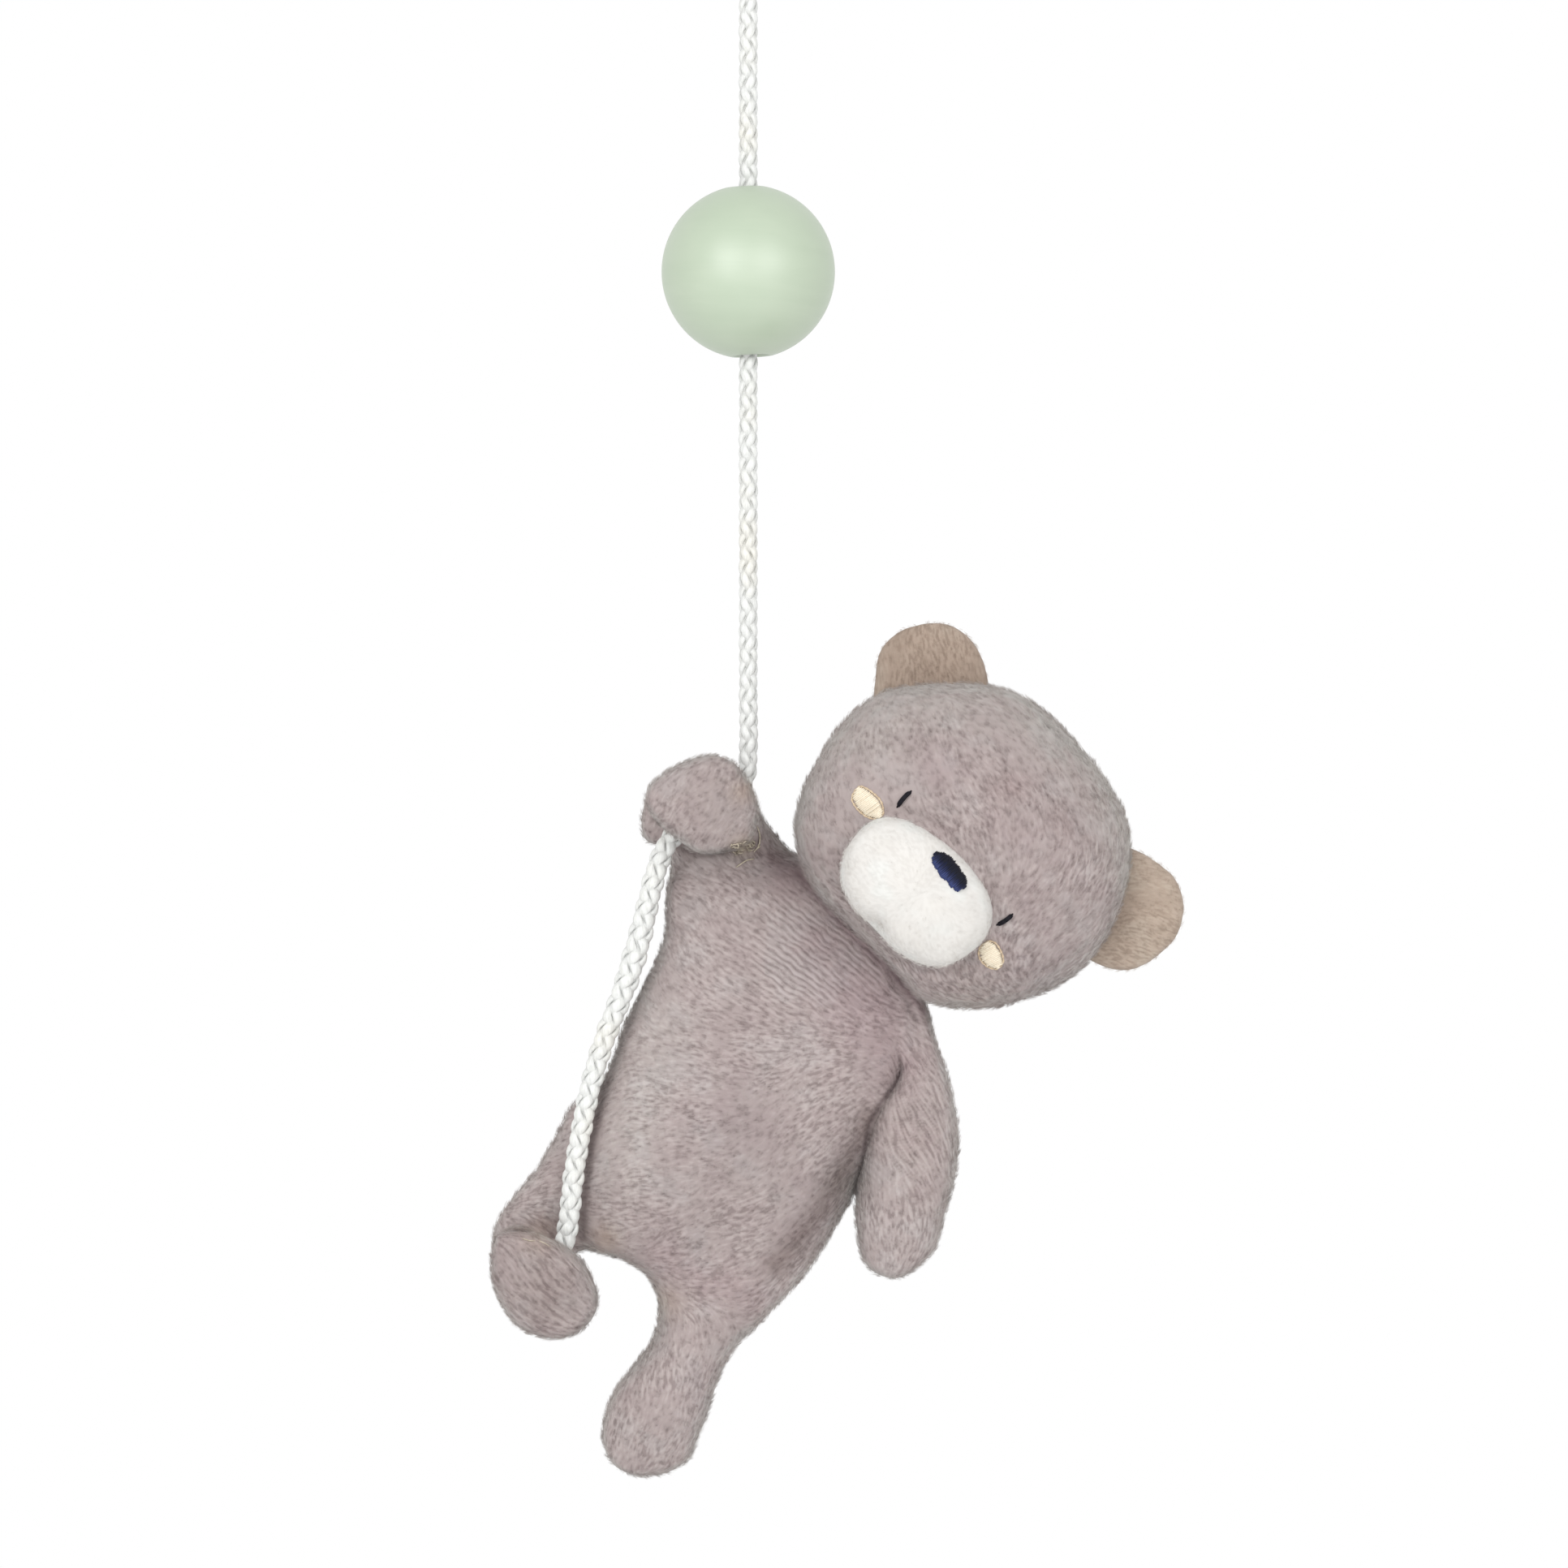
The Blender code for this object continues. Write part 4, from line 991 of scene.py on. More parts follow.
def paint_material(name):
    """Thin satin paint on turned beech: the growth rings still show faintly."""
    m, nodes, links, bsdf = shader(name)
    coords = nodes.new("ShaderNodeTexCoord").outputs["Object"]
    rings = noise_node(nodes, links, coords, 160.0, 4.0, 0.55, (0.35, 0.35, 3.2), (0.0, 0.05, 0.0), 0.6)
    cloud = noise_node(nodes, links, coords, 60.0, 3.0, 0.5)
    r = ramp(nodes, [(0.30, (0.330, 0.404, 0.292)), (0.55, (0.340, 0.414, 0.301)), (0.80, (0.350, 0.424, 0.310))])
    links.new(rings.outputs["Fac"], r.inputs["Fac"])
    c = ramp(nodes, [(0.35, (0.96, 0.97, 0.96)), (0.65, (1.02, 1.01, 1.02))])
    links.new(cloud.outputs["Fac"], c.inputs["Fac"])
    links.new(mix_colour(nodes, links, "MULTIPLY", 1.0, r.outputs["Color"], c.outputs["Color"]), bsdf.inputs["Base Color"])
    rough = ramp(nodes, [(0.3, (0.58, 0.58, 0.58)), (0.7, (0.63, 0.63, 0.63))])
    links.new(cloud.outputs["Fac"], rough.inputs["Fac"])
    links.new(rough.outputs["Color"], bsdf.inputs["Roughness"])
    bsdf.inputs["Specular IOR Level"].default_value = 0.75
    bsdf.inputs["Coat Weight"].default_value = 1.0
    bsdf.inputs["Coat Roughness"].default_value = 0.45
    bsdf.inputs["Coat IOR"].default_value = 1.75
    b = nodes.new("ShaderNodeBump")
    b.inputs["Strength"].default_value = 0.12
    b.inputs["Distance"].default_value = 0.0002
    links.new(rings.outputs["Fac"], b.inputs["Height"])
    links.new(b.outputs["Normal"], bsdf.inputs["Normal"])
    return m


def thread_material(name, dark, light, sheen, rough=0.4, specular=0.4):
    m, nodes, links, bsdf = shader(name)
    coords = nodes.new("ShaderNodeTexCoord").outputs["Object"]
    n = noise_node(nodes, links, coords, 3200.0, 2.0, 0.5)
    r = ramp(nodes, [(0.3, dark), (0.7, light)])
    links.new(n.outputs["Fac"], r.inputs["Fac"])
    links.new(r.outputs["Color"], bsdf.inputs["Base Color"])
    bsdf.inputs["Roughness"].default_value = rough
    bsdf.inputs["Specular IOR Level"].default_value = specular
    bsdf.inputs["Sheen Weight"].default_value = sheen
    b = nodes.new("ShaderNodeBump")
    b.inputs["Strength"].default_value = 0.4
    b.inputs["Distance"].default_value = 0.00008
    links.new(n.outputs["Fac"], b.inputs["Height"])
    links.new(b.outputs["Normal"], bsdf.inputs["Normal"])
    return m


def nose_material(name, middle, across):
    """Satin stitch in navy, with a painted sheen: paler and bluer towards its lower left side, thread by thread."""
    m, nodes, links, bsdf = shader(name)
    coords = nodes.new("ShaderNodeTexCoord").outputs["Object"]
    parts = []
    for way in ((across[0], 0.0, -across[1]), (-across[1], 0.0, -across[0])):
        dot = nodes.new("ShaderNodeVectorMath")
        dot.operation = "DOT_PRODUCT"
        dot.inputs[1].default_value = way
        links.new(coords, dot.inputs[0])
        parts.append(dot.outputs["Value"])
    place = nodes.new("ShaderNodeCombineXYZ")
    for value, gain, socket in zip(parts, (420.0, 3600.0), ("X", "Y")):
        times = nodes.new("ShaderNodeMath")
        times.operation = "MULTIPLY"
        times.inputs[1].default_value = gain
        links.new(value, times.inputs[0])
        links.new(times.outputs[0], place.inputs[socket])
    streak = nodes.new("ShaderNodeTexNoise")
    streak.inputs["Scale"].default_value = 1.0
    streak.inputs["Detail"].default_value = 2.0
    links.new(place.outputs[0], streak.inputs["Vector"])
    side = nodes.new("ShaderNodeMath")
    side.operation = "MULTIPLY_ADD"
    side.inputs[1].default_value = -420.0
    side.inputs[2].default_value = 420.0 * MM * (middle[0] * across[0] + middle[1] * across[1]) - 0.15
    links.new(parts[0], side.inputs[0])
    both = nodes.new("ShaderNodeMath")
    both.operation = "MULTIPLY_ADD"
    both.inputs[1].default_value = 1.3
    links.new(streak.outputs["Fac"], both.inputs[0])
    links.new(side.outputs[0], both.inputs[2])
    # painted sheen: the threads towards the lower left are drawn paler and bluer
    r = ramp(nodes, [(0.25, (0.002, 0.003, 0.011)), (0.60, (0.006, 0.009, 0.036)), (1.0, (0.026, 0.038, 0.122))])
    links.new(both.outputs[0], r.inputs["Fac"])
    links.new(r.outputs["Color"], bsdf.inputs["Base Color"])
    bsdf.inputs["Roughness"].default_value = 0.5
    bsdf.inputs["Specular IOR Level"].default_value = 0.25
    b = nodes.new("ShaderNodeBump")
    b.inputs["Strength"].default_value = 0.5
    b.inputs["Distance"].default_value = 0.00010
    links.new(streak.outputs["Fac"], b.inputs["Height"])
    links.new(b.outputs["Normal"], bsdf.inputs["Normal"])
    return m


ACROSS = (0.765, -0.644)    # the way the nose's threads run, right and down

# colours of the cloth, in linear light
BODY = ((0.363, 0.312, 0.302), (0.310, 0.261, 0.253), (0.236, 0.194, 0.188))
EAR = ((0.376, 0.306, 0.248), (0.339, 0.272, 0.218), (0.288, 0.227, 0.180))
FLEECE = ((0.578, 0.562, 0.538), (0.562, 0.546, 0.521), (0.540, 0.523, 0.499))

MAUVE = (0.955, 0.94, 0.945)
plush = plush_material("bear_plush", *BODY, MAUVE)
plush_pile = pile_material("bear_pile", *BODY, MAUVE)
head_plush = plush_material("head_plush", *BODY, MAUVE, spread=0.125, bump=0.5, lines=False)
head_pile = pile_material("head_pile", *BODY, MAUVE, spread=0.125, lines=False)
ear_cloth = plush_material("ear_fleece", *EAR, (0.96, 0.955, 0.95), scale=2000.0, bump=0.3, lines=False)
ear_pile = pile_material("ear_pile", *EAR, (0.96, 0.955, 0.95), scale=2000.0, lines=False)
white_cloth = plush_material("muzzle_fleece", *FLEECE, (0.99, 0.985, 0.98), samples=3, bump=0.15, lines=False)
white_pile = pile_material("muzzle_pile", *FLEECE, (0.99, 0.985, 0.98), samples=3, lines=False)
cord_white = cord_material("braided_cord")
bead_paint = paint_material("satin_paint")
navy = nose_material("navy_thread", np.mean(closed_outline(NOSE, 0.3), axis=0), ACROSS)
black = thread_material("eye_thread", (0.003, 0.003, 0.005), (0.010, 0.008, 0.013), 0.0, 0.6, 0.15)
cream = thread_material("cream_thread", (0.64, 0.555, 0.43), (0.70, 0.635, 0.51), 0.0, 0.45, 0.4)
# colour of the ring round the cheek patches: the pile over their edges, and painted shade
peach = thread_material("peach_pile_and_shade", (0.40, 0.30, 0.20), (0.54, 0.43, 0.30), 0.2, 0.8)
tan = thread_material("tan_thread", (0.36, 0.31, 0.24), (0.52, 0.46, 0.36), 0.0, 0.8)

# ---------------------------------------------------------------- camera
LENS = 135.0
DISTANCE = 0.2721 * LENS / 36.0
camera = bpy.data.cameras.new("camera")
camera.lens = LENS
camera.sensor_width = 36.0
camera.clip_start = 0.05
camera.clip_end = 20.0
camera_object = bpy.data.objects.new("camera", camera)
camera_object.location = (0.0062, -DISTANCE, -0.18406)
camera_object.rotation_euler = (math.radians(90.0), 0.0, 0.0)
bpy.context.scene.collection.objects.link(camera_object)
bpy.context.scene.camera = camera_object

# ---------------------------------------------------------------- cord
upper = [(0.0, 0.0, d) for d in (31.0, 45.0, 60.0, 80.0, 100.0, 120.0, 140.0, 155.0, 168.0)]
route = list(reversed(LOWER_CORD)) + list(reversed(upper))
cord_line = spline(route, 0.26)
slack = smooth(cord_line[:, 2], 176.0, 196.0)
swell = np.exp(-((cord_line[:, 2] - 214.0) / 8.0) ** 2)
cord_width = 3.40 + 0.50 * slack + 0.60 * swell
cv, cf = braid(cord_line, cord_width, 17.7, 4, 1.50 + 0.34 * slack + 0.15 * swell, 0.46 + 0.04 * slack, 0.26 + 0.10 * slack, 10,
               phase=0.39 * slack, loose=0.09)
cord = new_mesh("cord_braided", cv, cf, cord_white)
# painted shade in the braid's crevices, less dark along the slack lower run
painted_crevice_shade(cord, cv, cord_line, cord_width, 0.78 + 0.07 * slack, gain=0.985 + 0.005 * slack)
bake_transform(cord)
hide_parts("cord_upper", "cord_lower")

loop_line = spline(LOOP_ROUTE, 0.30)
lv, lf = braid(loop_line, CORD_D, 17.0, 4, 1.50, 0.46, 0.26, 10, loose=0.08, phase=0.4)
loop = new_mesh("hanging_loop_braided", lv, lf, cord_white)
painted_crevice_shade(loop, lv, loop_line, CORD_D)
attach(loop, "loop")
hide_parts("hanging_loop")

turns = []
for i in range(121):
    a = 2 * math.pi * 2.75 * i / 120.0
    turns.append((3.15 * math.cos(a), 2.75 * math.sin(a), 27.6 + 7.6 * i / 120.0 * 1.0 - 0.3))
knot_line = evenly(np.array([(1.0, 0.3, 33.6), (2.2, 0.2, 30.0)] + turns + [(1.0, -1.4, 34.0), (0.2, -0.3, 31.4)]), 0.3)
kv, kf = braid(knot_line, 3.3, 16.0, 4, 1.46, 0.45, 0.26, 10, loose=0.08, phase=0.9)
knot = new_mesh("loop_knot_wrapped", kv, kf, cord_white)
painted_crevice_shade(knot, kv, knot_line, 3.3)
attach(knot, "knot")
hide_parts("loop_knot")

# ---------------------------------------------------------------- bead
def turned(profile, count):
    """A ring turned about the vertical, from its closed section (radius, up)."""
    p = np.array(profile)
    a = np.linspace(0, 2 * np.pi, count, endpoint=False)
    m = len(p)
    verts = np.stack([p[None, :, 0] * np.cos(a)[:, None], p[None, :, 0] * np.sin(a)[:, None],
                      np.broadcast_to(p[:, 1], (count, m))], axis=2).reshape(-1, 3)
    faces = []
    for i in range(count):
        j = (i + 1) % count
        for k in range(m):
            l = (k + 1) % m
            faces.append((i * m + k, j * m + k, j * m + l, i * m + l))
    return verts, faces


R, BORE = 15.05, 2.7
section = []
start = math.asin((BORE + 1.0) / R)
for i in range(61):
    a = start + (math.pi - 2 * start) * i / 60.0
    section.append((R * math.sin(a), -R * math.cos(a)))
top_up = R * math.cos(start)
for i in range(1, 7):
    a = math.pi / 2 * i / 6.0
    section.append((BORE + 1.0 * (1 - math.sin(a)), top_up - 0.9 * (1 - math.cos(a)) * 1.0))
for i in range(1, 10):
    section.append((BORE, (top_up - 0.9) * (1 - 2 * i / 10.0)))
for i in range(6, 0, -1):
    a = math.pi / 2 * i / 6.0
    section.append((BORE + 1.0 * (1 - math.sin(a)), -(top_up - 0.9 * (1 - math.cos(a)))))
bv, bf = turned(section, 160)
tilt = math.radians(-2.5)
c, s = math.cos(tilt), math.sin(tilt)
bv = np.stack([bv[:, 0] * c + bv[:, 2] * s, bv[:, 1], -bv[:, 0] * s + bv[:, 2] * c], axis=1)
bv[:, 2] = 95.2 - bv[:, 2]
bead = new_mesh("bead_painted", bv, bf, bead_paint)
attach(bead, "bead")
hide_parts("wood_bead")

# ---------------------------------------------------------------- bear
FINE = 0.5
PROUD = 0.2            # the pile's height over the cloth, mm

# torso, raised arm folded over the cord, and leg folded over the cord
grid = Grid((-49.0, -16.0, 173.0), (39.0, 22.0, 310.0), FINE)
torso = bag(grid, TORSO, 7.0, 12.5, 11.5, 2.3)
arm_field = bag(grid, FREE_ARM, 4.5, 7.4, 7.2)
shoulder = 1.0 - smooth(grid.d, 226.5, 231.5)[None, None, :]
body = torso * (1 - shoulder) + join(torso, arm_field, 4.0) * shoulder
body = join(body, bag(grid, RAISED_ARM, 8.2, 5.8, 5.8), 2.6)
paw = bag(grid, PAW, -7.4, 5.6, 4.9, 2.2)
fold = stroke(grid, [(-7.8, 7.5, 188.6), (-10.8, 6.0, 187.0), (-11.9, 0.5, 186.3), (-11.0, -5.0, 186.9), (-8.4, -7.0, 188.0)],
              [4.2, 4.0, 3.8, 4.0, 4.0], (-0.72, 0.0, 0.69), 1.3)
body = join(body, join(paw, fold, 2.6), 0.8)
body = join(body, bag(grid, CORD_LEG, 8.6, 6.4, 6.4), 2.6)
foot = bag(grid, FOOT, -7.6, 5.8, 5.2, 2.2)
bend = stroke(grid, [(-37.4, 8.0, 263.5), (-39.4, 6.0, 266.0), (-39.9, 0.5, 267.0), (-39.4, -5.0, 268.0), (-36.9, -7.0, 269.5)],
              [4.5, 4.3, 4.0, 4.3, 4.3], (0.1, 0.0, 1.0), 1.4)
body = join(body, join(foot, bend, 2.6), 0.8)
body = join(body, bag(grid, FREE_LEG, 6.4, 8.2, 8.0), 3.0)
v, f = skin(grid, body - PROUD)
v = relax(v, f, 4)


# painted sheen: cloth that faces sideways is drawn paler and greyer
PAINTED_RIM_SHEEN = (0.99, 1.06, 1.035)


def body_wales(p):
    """Long even lines in the pile of the chest and along the free arm, none elsewhere."""
    x, d = p[:, 0], p[:, 2]
    chest = np.exp(-(((x - 11.5) / 14.5) ** 2 + ((d - 213.0) / 12.0) ** 2) ** 2)
    beside = 0.5 * np.exp(-(((x + 4.0) / 8.0) ** 2 + ((d - 218.0) / 8.0) ** 2) ** 2)
    chest = np.maximum(chest, beside) * np.clip(0.80 + 0.50 * lattice(p / 5.0, 91), 0.0, 1.0)
    sleeve = 0.45 * np.exp(-(((x - 27.0) / 9.0) ** 2 + ((d - 243.0) / 13.0) ** 2) ** 2)
    sole = 0.3 * np.exp(-(((x + 34.0) / 6.5) ** 2 + ((d - 270.0) / 7.0) ** 2) ** 2)
    front = smooth(-p[:, 1], -6.0, 0.0)
    return np.maximum(np.maximum(chest, sleeve), sole) * front


def slanted(angle):
    """Unit vectors in the front view, angle in degrees below the horizontal, to the right."""
    a = np.radians(angle)
    return np.stack([np.cos(a), 0.0 * a, np.sin(a)], axis=1)


def fan(p):
    """The pile runs down to the right over the chest, and up to the right over the belly."""
    x, d = p[:, 0], p[:, 2]
    chest = slanted(32.0 + 8.0 * smooth(x, 0.0, 22.0))
    belly = slanted(-12.0 - 26.0 * smooth(x, -8.0, 8.0))
    low = smooth(d, 215.0, 247.0)[:, None]
    return chest * (1 - low) + belly * low


def blended(p, first, parts):
    """Directions that change over from one to the next: parts are (share of each point, direction)."""
    way = first.copy()
    for share, direction in parts:
        way = way * (1 - share[:, None]) + np.asarray(direction, float) * share[:, None]
    return way


def body_nap(p):
    x, d = p[:, 0], p[:, 2]
    leg = smooth(d, 262.0, 290.0) * smooth(-x, -8.0, 6.0)
    foot_at = smooth(-x, 24.0, 30.0) * smooth(d, 254.0, 264.0)
    paw_at = (1 - smooth(d, 192.0, 199.0)) * (1 - smooth(x, 1.0, 6.0))
    arm_at = smooth(x, 22.0, 27.0) * smooth(d, 222.0, 232.0)
    back = smooth(p[:, 1], 5.0, 9.0)
    return blended(p, fan(p), [(leg, (-0.30, 0.0, 0.95)), (foot_at, (0.72, 0.0, 0.69)), (paw_at, (-0.62, 0.0, 0.78)),
                               (arm_at, (0.55, 0.0, 0.83)), (back, (0.15, 0.0, 0.99))])


v = v + normals_of(v, f) * pile_relief(v)[:, None]
face_mid = v[f].mean(axis=1)
beyond = (v - np.array(HIP)) @ HIP_OUT
leg_side = beyond[f].min(axis=1) >= 0.0
leg_side &= (face_mid[:, 0] > -22.0) | (face_mid[:, 2] > 284.0)
leg_side &= face_mid[:, 2] > 272.0


def pick(verts, faces, chosen):
    sub = faces[chosen]
    used = np.unique(sub)
    new = np.full(len(verts), -1)
    new[used] = np.arange(len(used))
    return verts[used], new[sub]


tv, tf = pick(v, f, ~leg_side)
gv, gf = pick(v, f, leg_side)
torso_piece = new_mesh("bear_body", tv, tf, plush)
torso_piece.data.materials.append(plush_pile)
dress(torso_piece, tv, tf, body_nap, PAINTED_LIGHT_SHADE_AND_STAINS, PAINTED_RIM_SHEEN, body_wales)
leg_piece = new_mesh("bear_free_leg", gv, gf, plush)
leg_piece.data.materials.append(plush_pile)
dress(leg_piece, gv, gf, body_nap, PAINTED_LIGHT_SHADE_AND_STAINS, PAINTED_RIM_SHEEN, body_wales)
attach(torso_piece, "bear")
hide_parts("torso_front_panel", "torso_back_panel", "torso_filling", "raised_arm_cover", "raised_arm_filling",
            "raised_paw_cover", "raised_paw_filling", "cord_leg_cover", "cord_leg_filling", "cord_foot_cover", "cord_foot_filling")
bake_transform(leg_piece)
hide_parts("free_leg_cover", "free_leg_filling")

# free arm: its top is the torso's own surface, so that the sleeve runs on into the body
grid = Grid((14.0, -8.0, 214.0), (41.0, 17.0, 275.0), FINE * 0.95)
arm_field = bag(grid, FREE_ARM, 4.5, 7.4, 7.2)
shoulder = 1.0 - smooth(grid.d, 229.5, 234.5)[None, None, :]
torso = bag(grid, TORSO, 7.0, 12.5, 11.5, 2.3)
merged = join(torso, arm_field, 4.0) - 0.15
sleeve = np.minimum(arm_field * (1 - shoulder) + merged * shoulder, arm_field + 1.8)
armpit = stroke(grid, [(27.6, 5.2, 225.5), (25.6, 5.2, 231.5), (24.2, 5.2, 237.5)], [4.8, 5.8, 4.8])
sleeve = join(sleeve, np.minimum(armpit, torso - 0.9), 0.8)
v, f = skin(grid, sleeve - PROUD)
v = relax(v, f, 4)


def arm_nap(p):
    return blended(p, np.broadcast_to(np.array([0.55, 0.0, 0.83]), p.shape), [(smooth(p[:, 2], 250.0, 268.0), (-0.15, 0.0, 0.98))])


# the free arm takes the same stains and painted light and shade, with a weaker painted shadow in the crease
arm_painted_light_shade_and_stains = [t for t in PAINTED_LIGHT_SHADE_AND_STAINS if t is not ARM_CREASE_PAINTED_SHADOW] + [(ARM_CREASE_PAINTED_SHADOW[0], 0.4, (0.70, 0.67, 0.68))]
arm_piece, arm_verts = plush_piece("bear_free_arm", v, f, plush, plush_pile, arm_nap, relief=0.085, tints=arm_painted_light_shade_and_stains, rim=PAINTED_RIM_SHEEN, wales=body_wales)
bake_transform(arm_piece)
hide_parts("free_arm_cover", "free_arm_filling")

# head
grid = Grid((4.0, -29.0, 162.0), (71.0, 21.0, 228.0), FINE)
head = bag(grid, HEAD, -3.0, 21.0, 19.0, 2.15)
px, pd = np.meshgrid(grid.x, grid.d, indexing="ij")
to_muzzle = polygon_distance(px, pd, closed_outline(MUZZLE, 0.8))
sewn_rim = 0.75 * np.exp(-((to_muzzle + 0.5) / 1.3) ** 2)[:, None, :] * smooth(-grid.y, 6.0, 12.0)[None, :, None]
v, f = skin(grid, head - PROUD - sewn_rim)
v = relax(v, f, 3)


def head_nap(p):
    x, d = p[:, 0], p[:, 2]
    beside = np.exp(-(((x - 36.0) / 8.0) ** 2 + ((d - 189.0) / 9.0) ** 2))
    right = np.exp(-(((x - 55.0) / 13.0) ** 2 + ((d - 206.0) / 13.0) ** 2) ** 2)
    still = np.broadcast_to(np.array([0.42, 0.0, 0.90]), p.shape)
    return blended(p, still, [(beside, (0.50, 0.0, 0.85)), (right, (-0.65, 0.0, 0.75))])


head_piece, head_verts = plush_piece("bear_head", v, f, head_plush, head_pile, head_nap, relief=0.15, tints=PAINTED_LIGHT_SHADE_AND_STAINS, seed=31, rim=PAINTED_RIM_SHEEN, wales=lambda p: smooth(0.5 * (p[:, 0] - 36.0) + 0.86 * (p[:, 2] - 190.0), -10.0, 16.0))
head_faces = f
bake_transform(head_piece)
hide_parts("head_front_panel", "head_back_panel", "head_filling")

# muzzle
grid = Grid((10.0, -33.0, 184.0), (48.0, -8.0, 221.0), FINE * 0.8)
dome = bag(grid, MUZZLE, -19.5, 9.2, 6.0, 2.3)
x, y, d = grid.points()
mouth = np.exp(-(((x - 21.9) / 1.7) ** 2 + ((d - 208.7) / 2.0) ** 2)) * np.clip((-19.0 - y) / 3.0, 0, 1)
v, f = skin(grid, dome - 0.15 - 1.7 * mouth)
v = relax(v, f, 3)


def muzzle_nap(p):
    rel = p - np.array([29.3, 0.0, 202.5])
    rel[:, 1] = 0.0
    return rel / np.maximum(np.linalg.norm(rel, axis=1)[:, None], 1e-6)


muzzle_piece, muzzle_verts = plush_piece("bear_muzzle", v, f, white_cloth, white_pile, muzzle_nap, relief=0.05, seed=41)
muzzle_faces = f
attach(muzzle_piece, "head")
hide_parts("muzzle_patch", "muzzle_filling")

# ears
ears = []
for name, outline, base, out, joint_body, nodes, seed in (
        ("ear_upper_left", UPPER_EAR, (32.4, -2.0, 166.8), (-0.1, 0.0, -0.995), "upper_ear", ("upper_ear_front", "upper_ear_back"), 51),
        ("ear_lower_right", LOWER_EAR, (63.8, -2.0, 206.2), (0.946, 0.0, 0.325), "lower_ear", ("lower_ear_front", "lower_ear_back"), 55)):
    lo = np.min(outline, axis=0) - 4.0
    hi = np.max(outline, axis=0) + 4.0
    grid = Grid((lo[0], -8.0, lo[1]), (hi[0], 4.0, hi[1]), FINE * 0.8)
    v, f = skin(grid, bag(grid, outline, -2.0, 2.7, 2.3, 2.6) - 0.15)
    v = relax(v, f, 3)

    def ear_nap(p, way=out):
        return np.broadcast_to(np.array(way), p.shape)

    # The upper ear is drawn darker all over. Painted shade at each ear's root, where it meets the head; the rim share
    # below is painted light, paler where the ear faces sideways.
    whole = (0.825, 0.80, 0.80) if seed == 51 else (0.96, 0.955, 0.96)
    inner = (base[0] - 2.0 * out[0], base[2] - 2.0 * out[2])
    shade = [(base[0] + 8 * out[0], base[2] + 8 * out[2], 60.0, whole), (inner[0], inner[1], 7.0, (0.86, 0.84, 0.83))]
    ear, _ = plush_piece(name, v, f, ear_cloth, ear_pile, ear_nap, relief=0.06, tints=shade, seed=seed, rim=(1.04, 1.04, 1.05))
    base = np.array(base)
    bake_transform(ear)
    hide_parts(*nodes)
    ears.append(ear)

# ---------------------------------------------------------------- stitching
from mathutils.bvhtree import BVHTree

head_tree = BVHTree.FromPolygons(head_verts.tolist(), head_faces.tolist())
muzzle_tree = BVHTree.FromPolygons(muzzle_verts.tolist(), muzzle_faces.tolist())
body_tree = BVHTree.FromPolygons(tv.tolist(), tf.tolist())


def on_front(tree, right, down):
    """Depth of the cloth's front at a place of the front view."""
    hit = tree.ray_cast(Vector((right, -80.0, down)), Vector((0.0, 1.0, 0.0)))
    return None if hit[0] is None else hit[0].y


def thread(points, radius, count=7, flat=1.0, taper=0.35):
    """One thread through points, thinner at its ends."""
    line = np.array(points, float)
    tangent, side, other = frames(line)
    t = np.linspace(0, 1, len(line))
    r = radius * (taper + (1 - taper) * np.minimum(1.0, 6.0 * np.minimum(t, 1 - t)) ** 0.7)
    return sweep(line, side, other, r * flat, r, count)


def gathered(parts):
    verts, faces, base = [], [], 0
    for pts, quads in parts:
        verts.append(pts)
        faces += [[q + base for q in f] for f in quads]
        base += len(pts)
    return np.vstack(verts), faces


def satin(outline, tree, way, pitch, radius, rise, seed):
    """A filled shape of satin stitch: threads side by side across the outline, over a slight padding."""
    loop = closed_outline(outline, 0.12)
    w = np.array(way) / np.linalg.norm(way)
    across = np.array([-w[1], w[0]])
    s, t = loop @ across, loop @ w
    parts = []
    count = int((s.max() - s.min()) / pitch)
    for i in range(count + 1):
        at = s.min() + (s.max() - s.min()) * (i + 0.5) / (count + 1)
        hits = []
        for j in range(len(loop)):
            a, b = s[j - 1], s[j]
            if (a - at) * (b - at) <= 0 and a != b:
                hits.append(t[j - 1] + (at - a) / (b - a) * (t[j] - t[j - 1]))
        if len(hits) < 2:
            continue
        low = min(hits) + 0.2 + 0.36 * noise.noise(Vector((i * 1.7, seed, 0.0)))
        high = max(hits) - 0.2 + 0.30 * noise.noise(Vector((i * 1.7, seed, 5.0)))
        if high - low < 0.5:
            continue
        lean = 0.10 * noise.noise(Vector((i * 2.3, seed, 9.0)))
        lift = rise * (0.85 + 0.3 * noise.noise(Vector((i * 1.1, seed, 3.0))))
        points = []
        for k in range(13):
            q = k / 12.0
            place = across * (at + lean * (q - 0.5)) + w * (low + (high - low) * q)
            y = on_front(tree, place[0], place[1])
            arch = math.sin(math.pi * q) ** 0.45 if 0 < q < 1 else 0.0
            points.append((place[0], y + 0.25 - (lift + 0.25) * arch, place[1]))
        parts.append(thread(points, radius, 7, 1.0, 0.7))
    return gathered(parts)


# A thin tan ring along a patch's outline: the plush's pile lying over the patch's edge, and painted shade there.
def pile_and_shade_outline(outline, tree, radius, rise, lump):
    loop = closed_outline(outline, 0.2)
    points = [(p[0], on_front(tree, p[0], p[1]) - rise, p[1]) for p in loop]
    points.append(points[0])
    line = np.array(points)
    tangent, side, other = frames(line)
    along = np.arange(len(line)) * 0.2
    r = radius * (1.0 + lump * np.sin(along * 2 * np.pi / 0.9))
    return sweep(line, side, other, r, r, 7, caps=False)


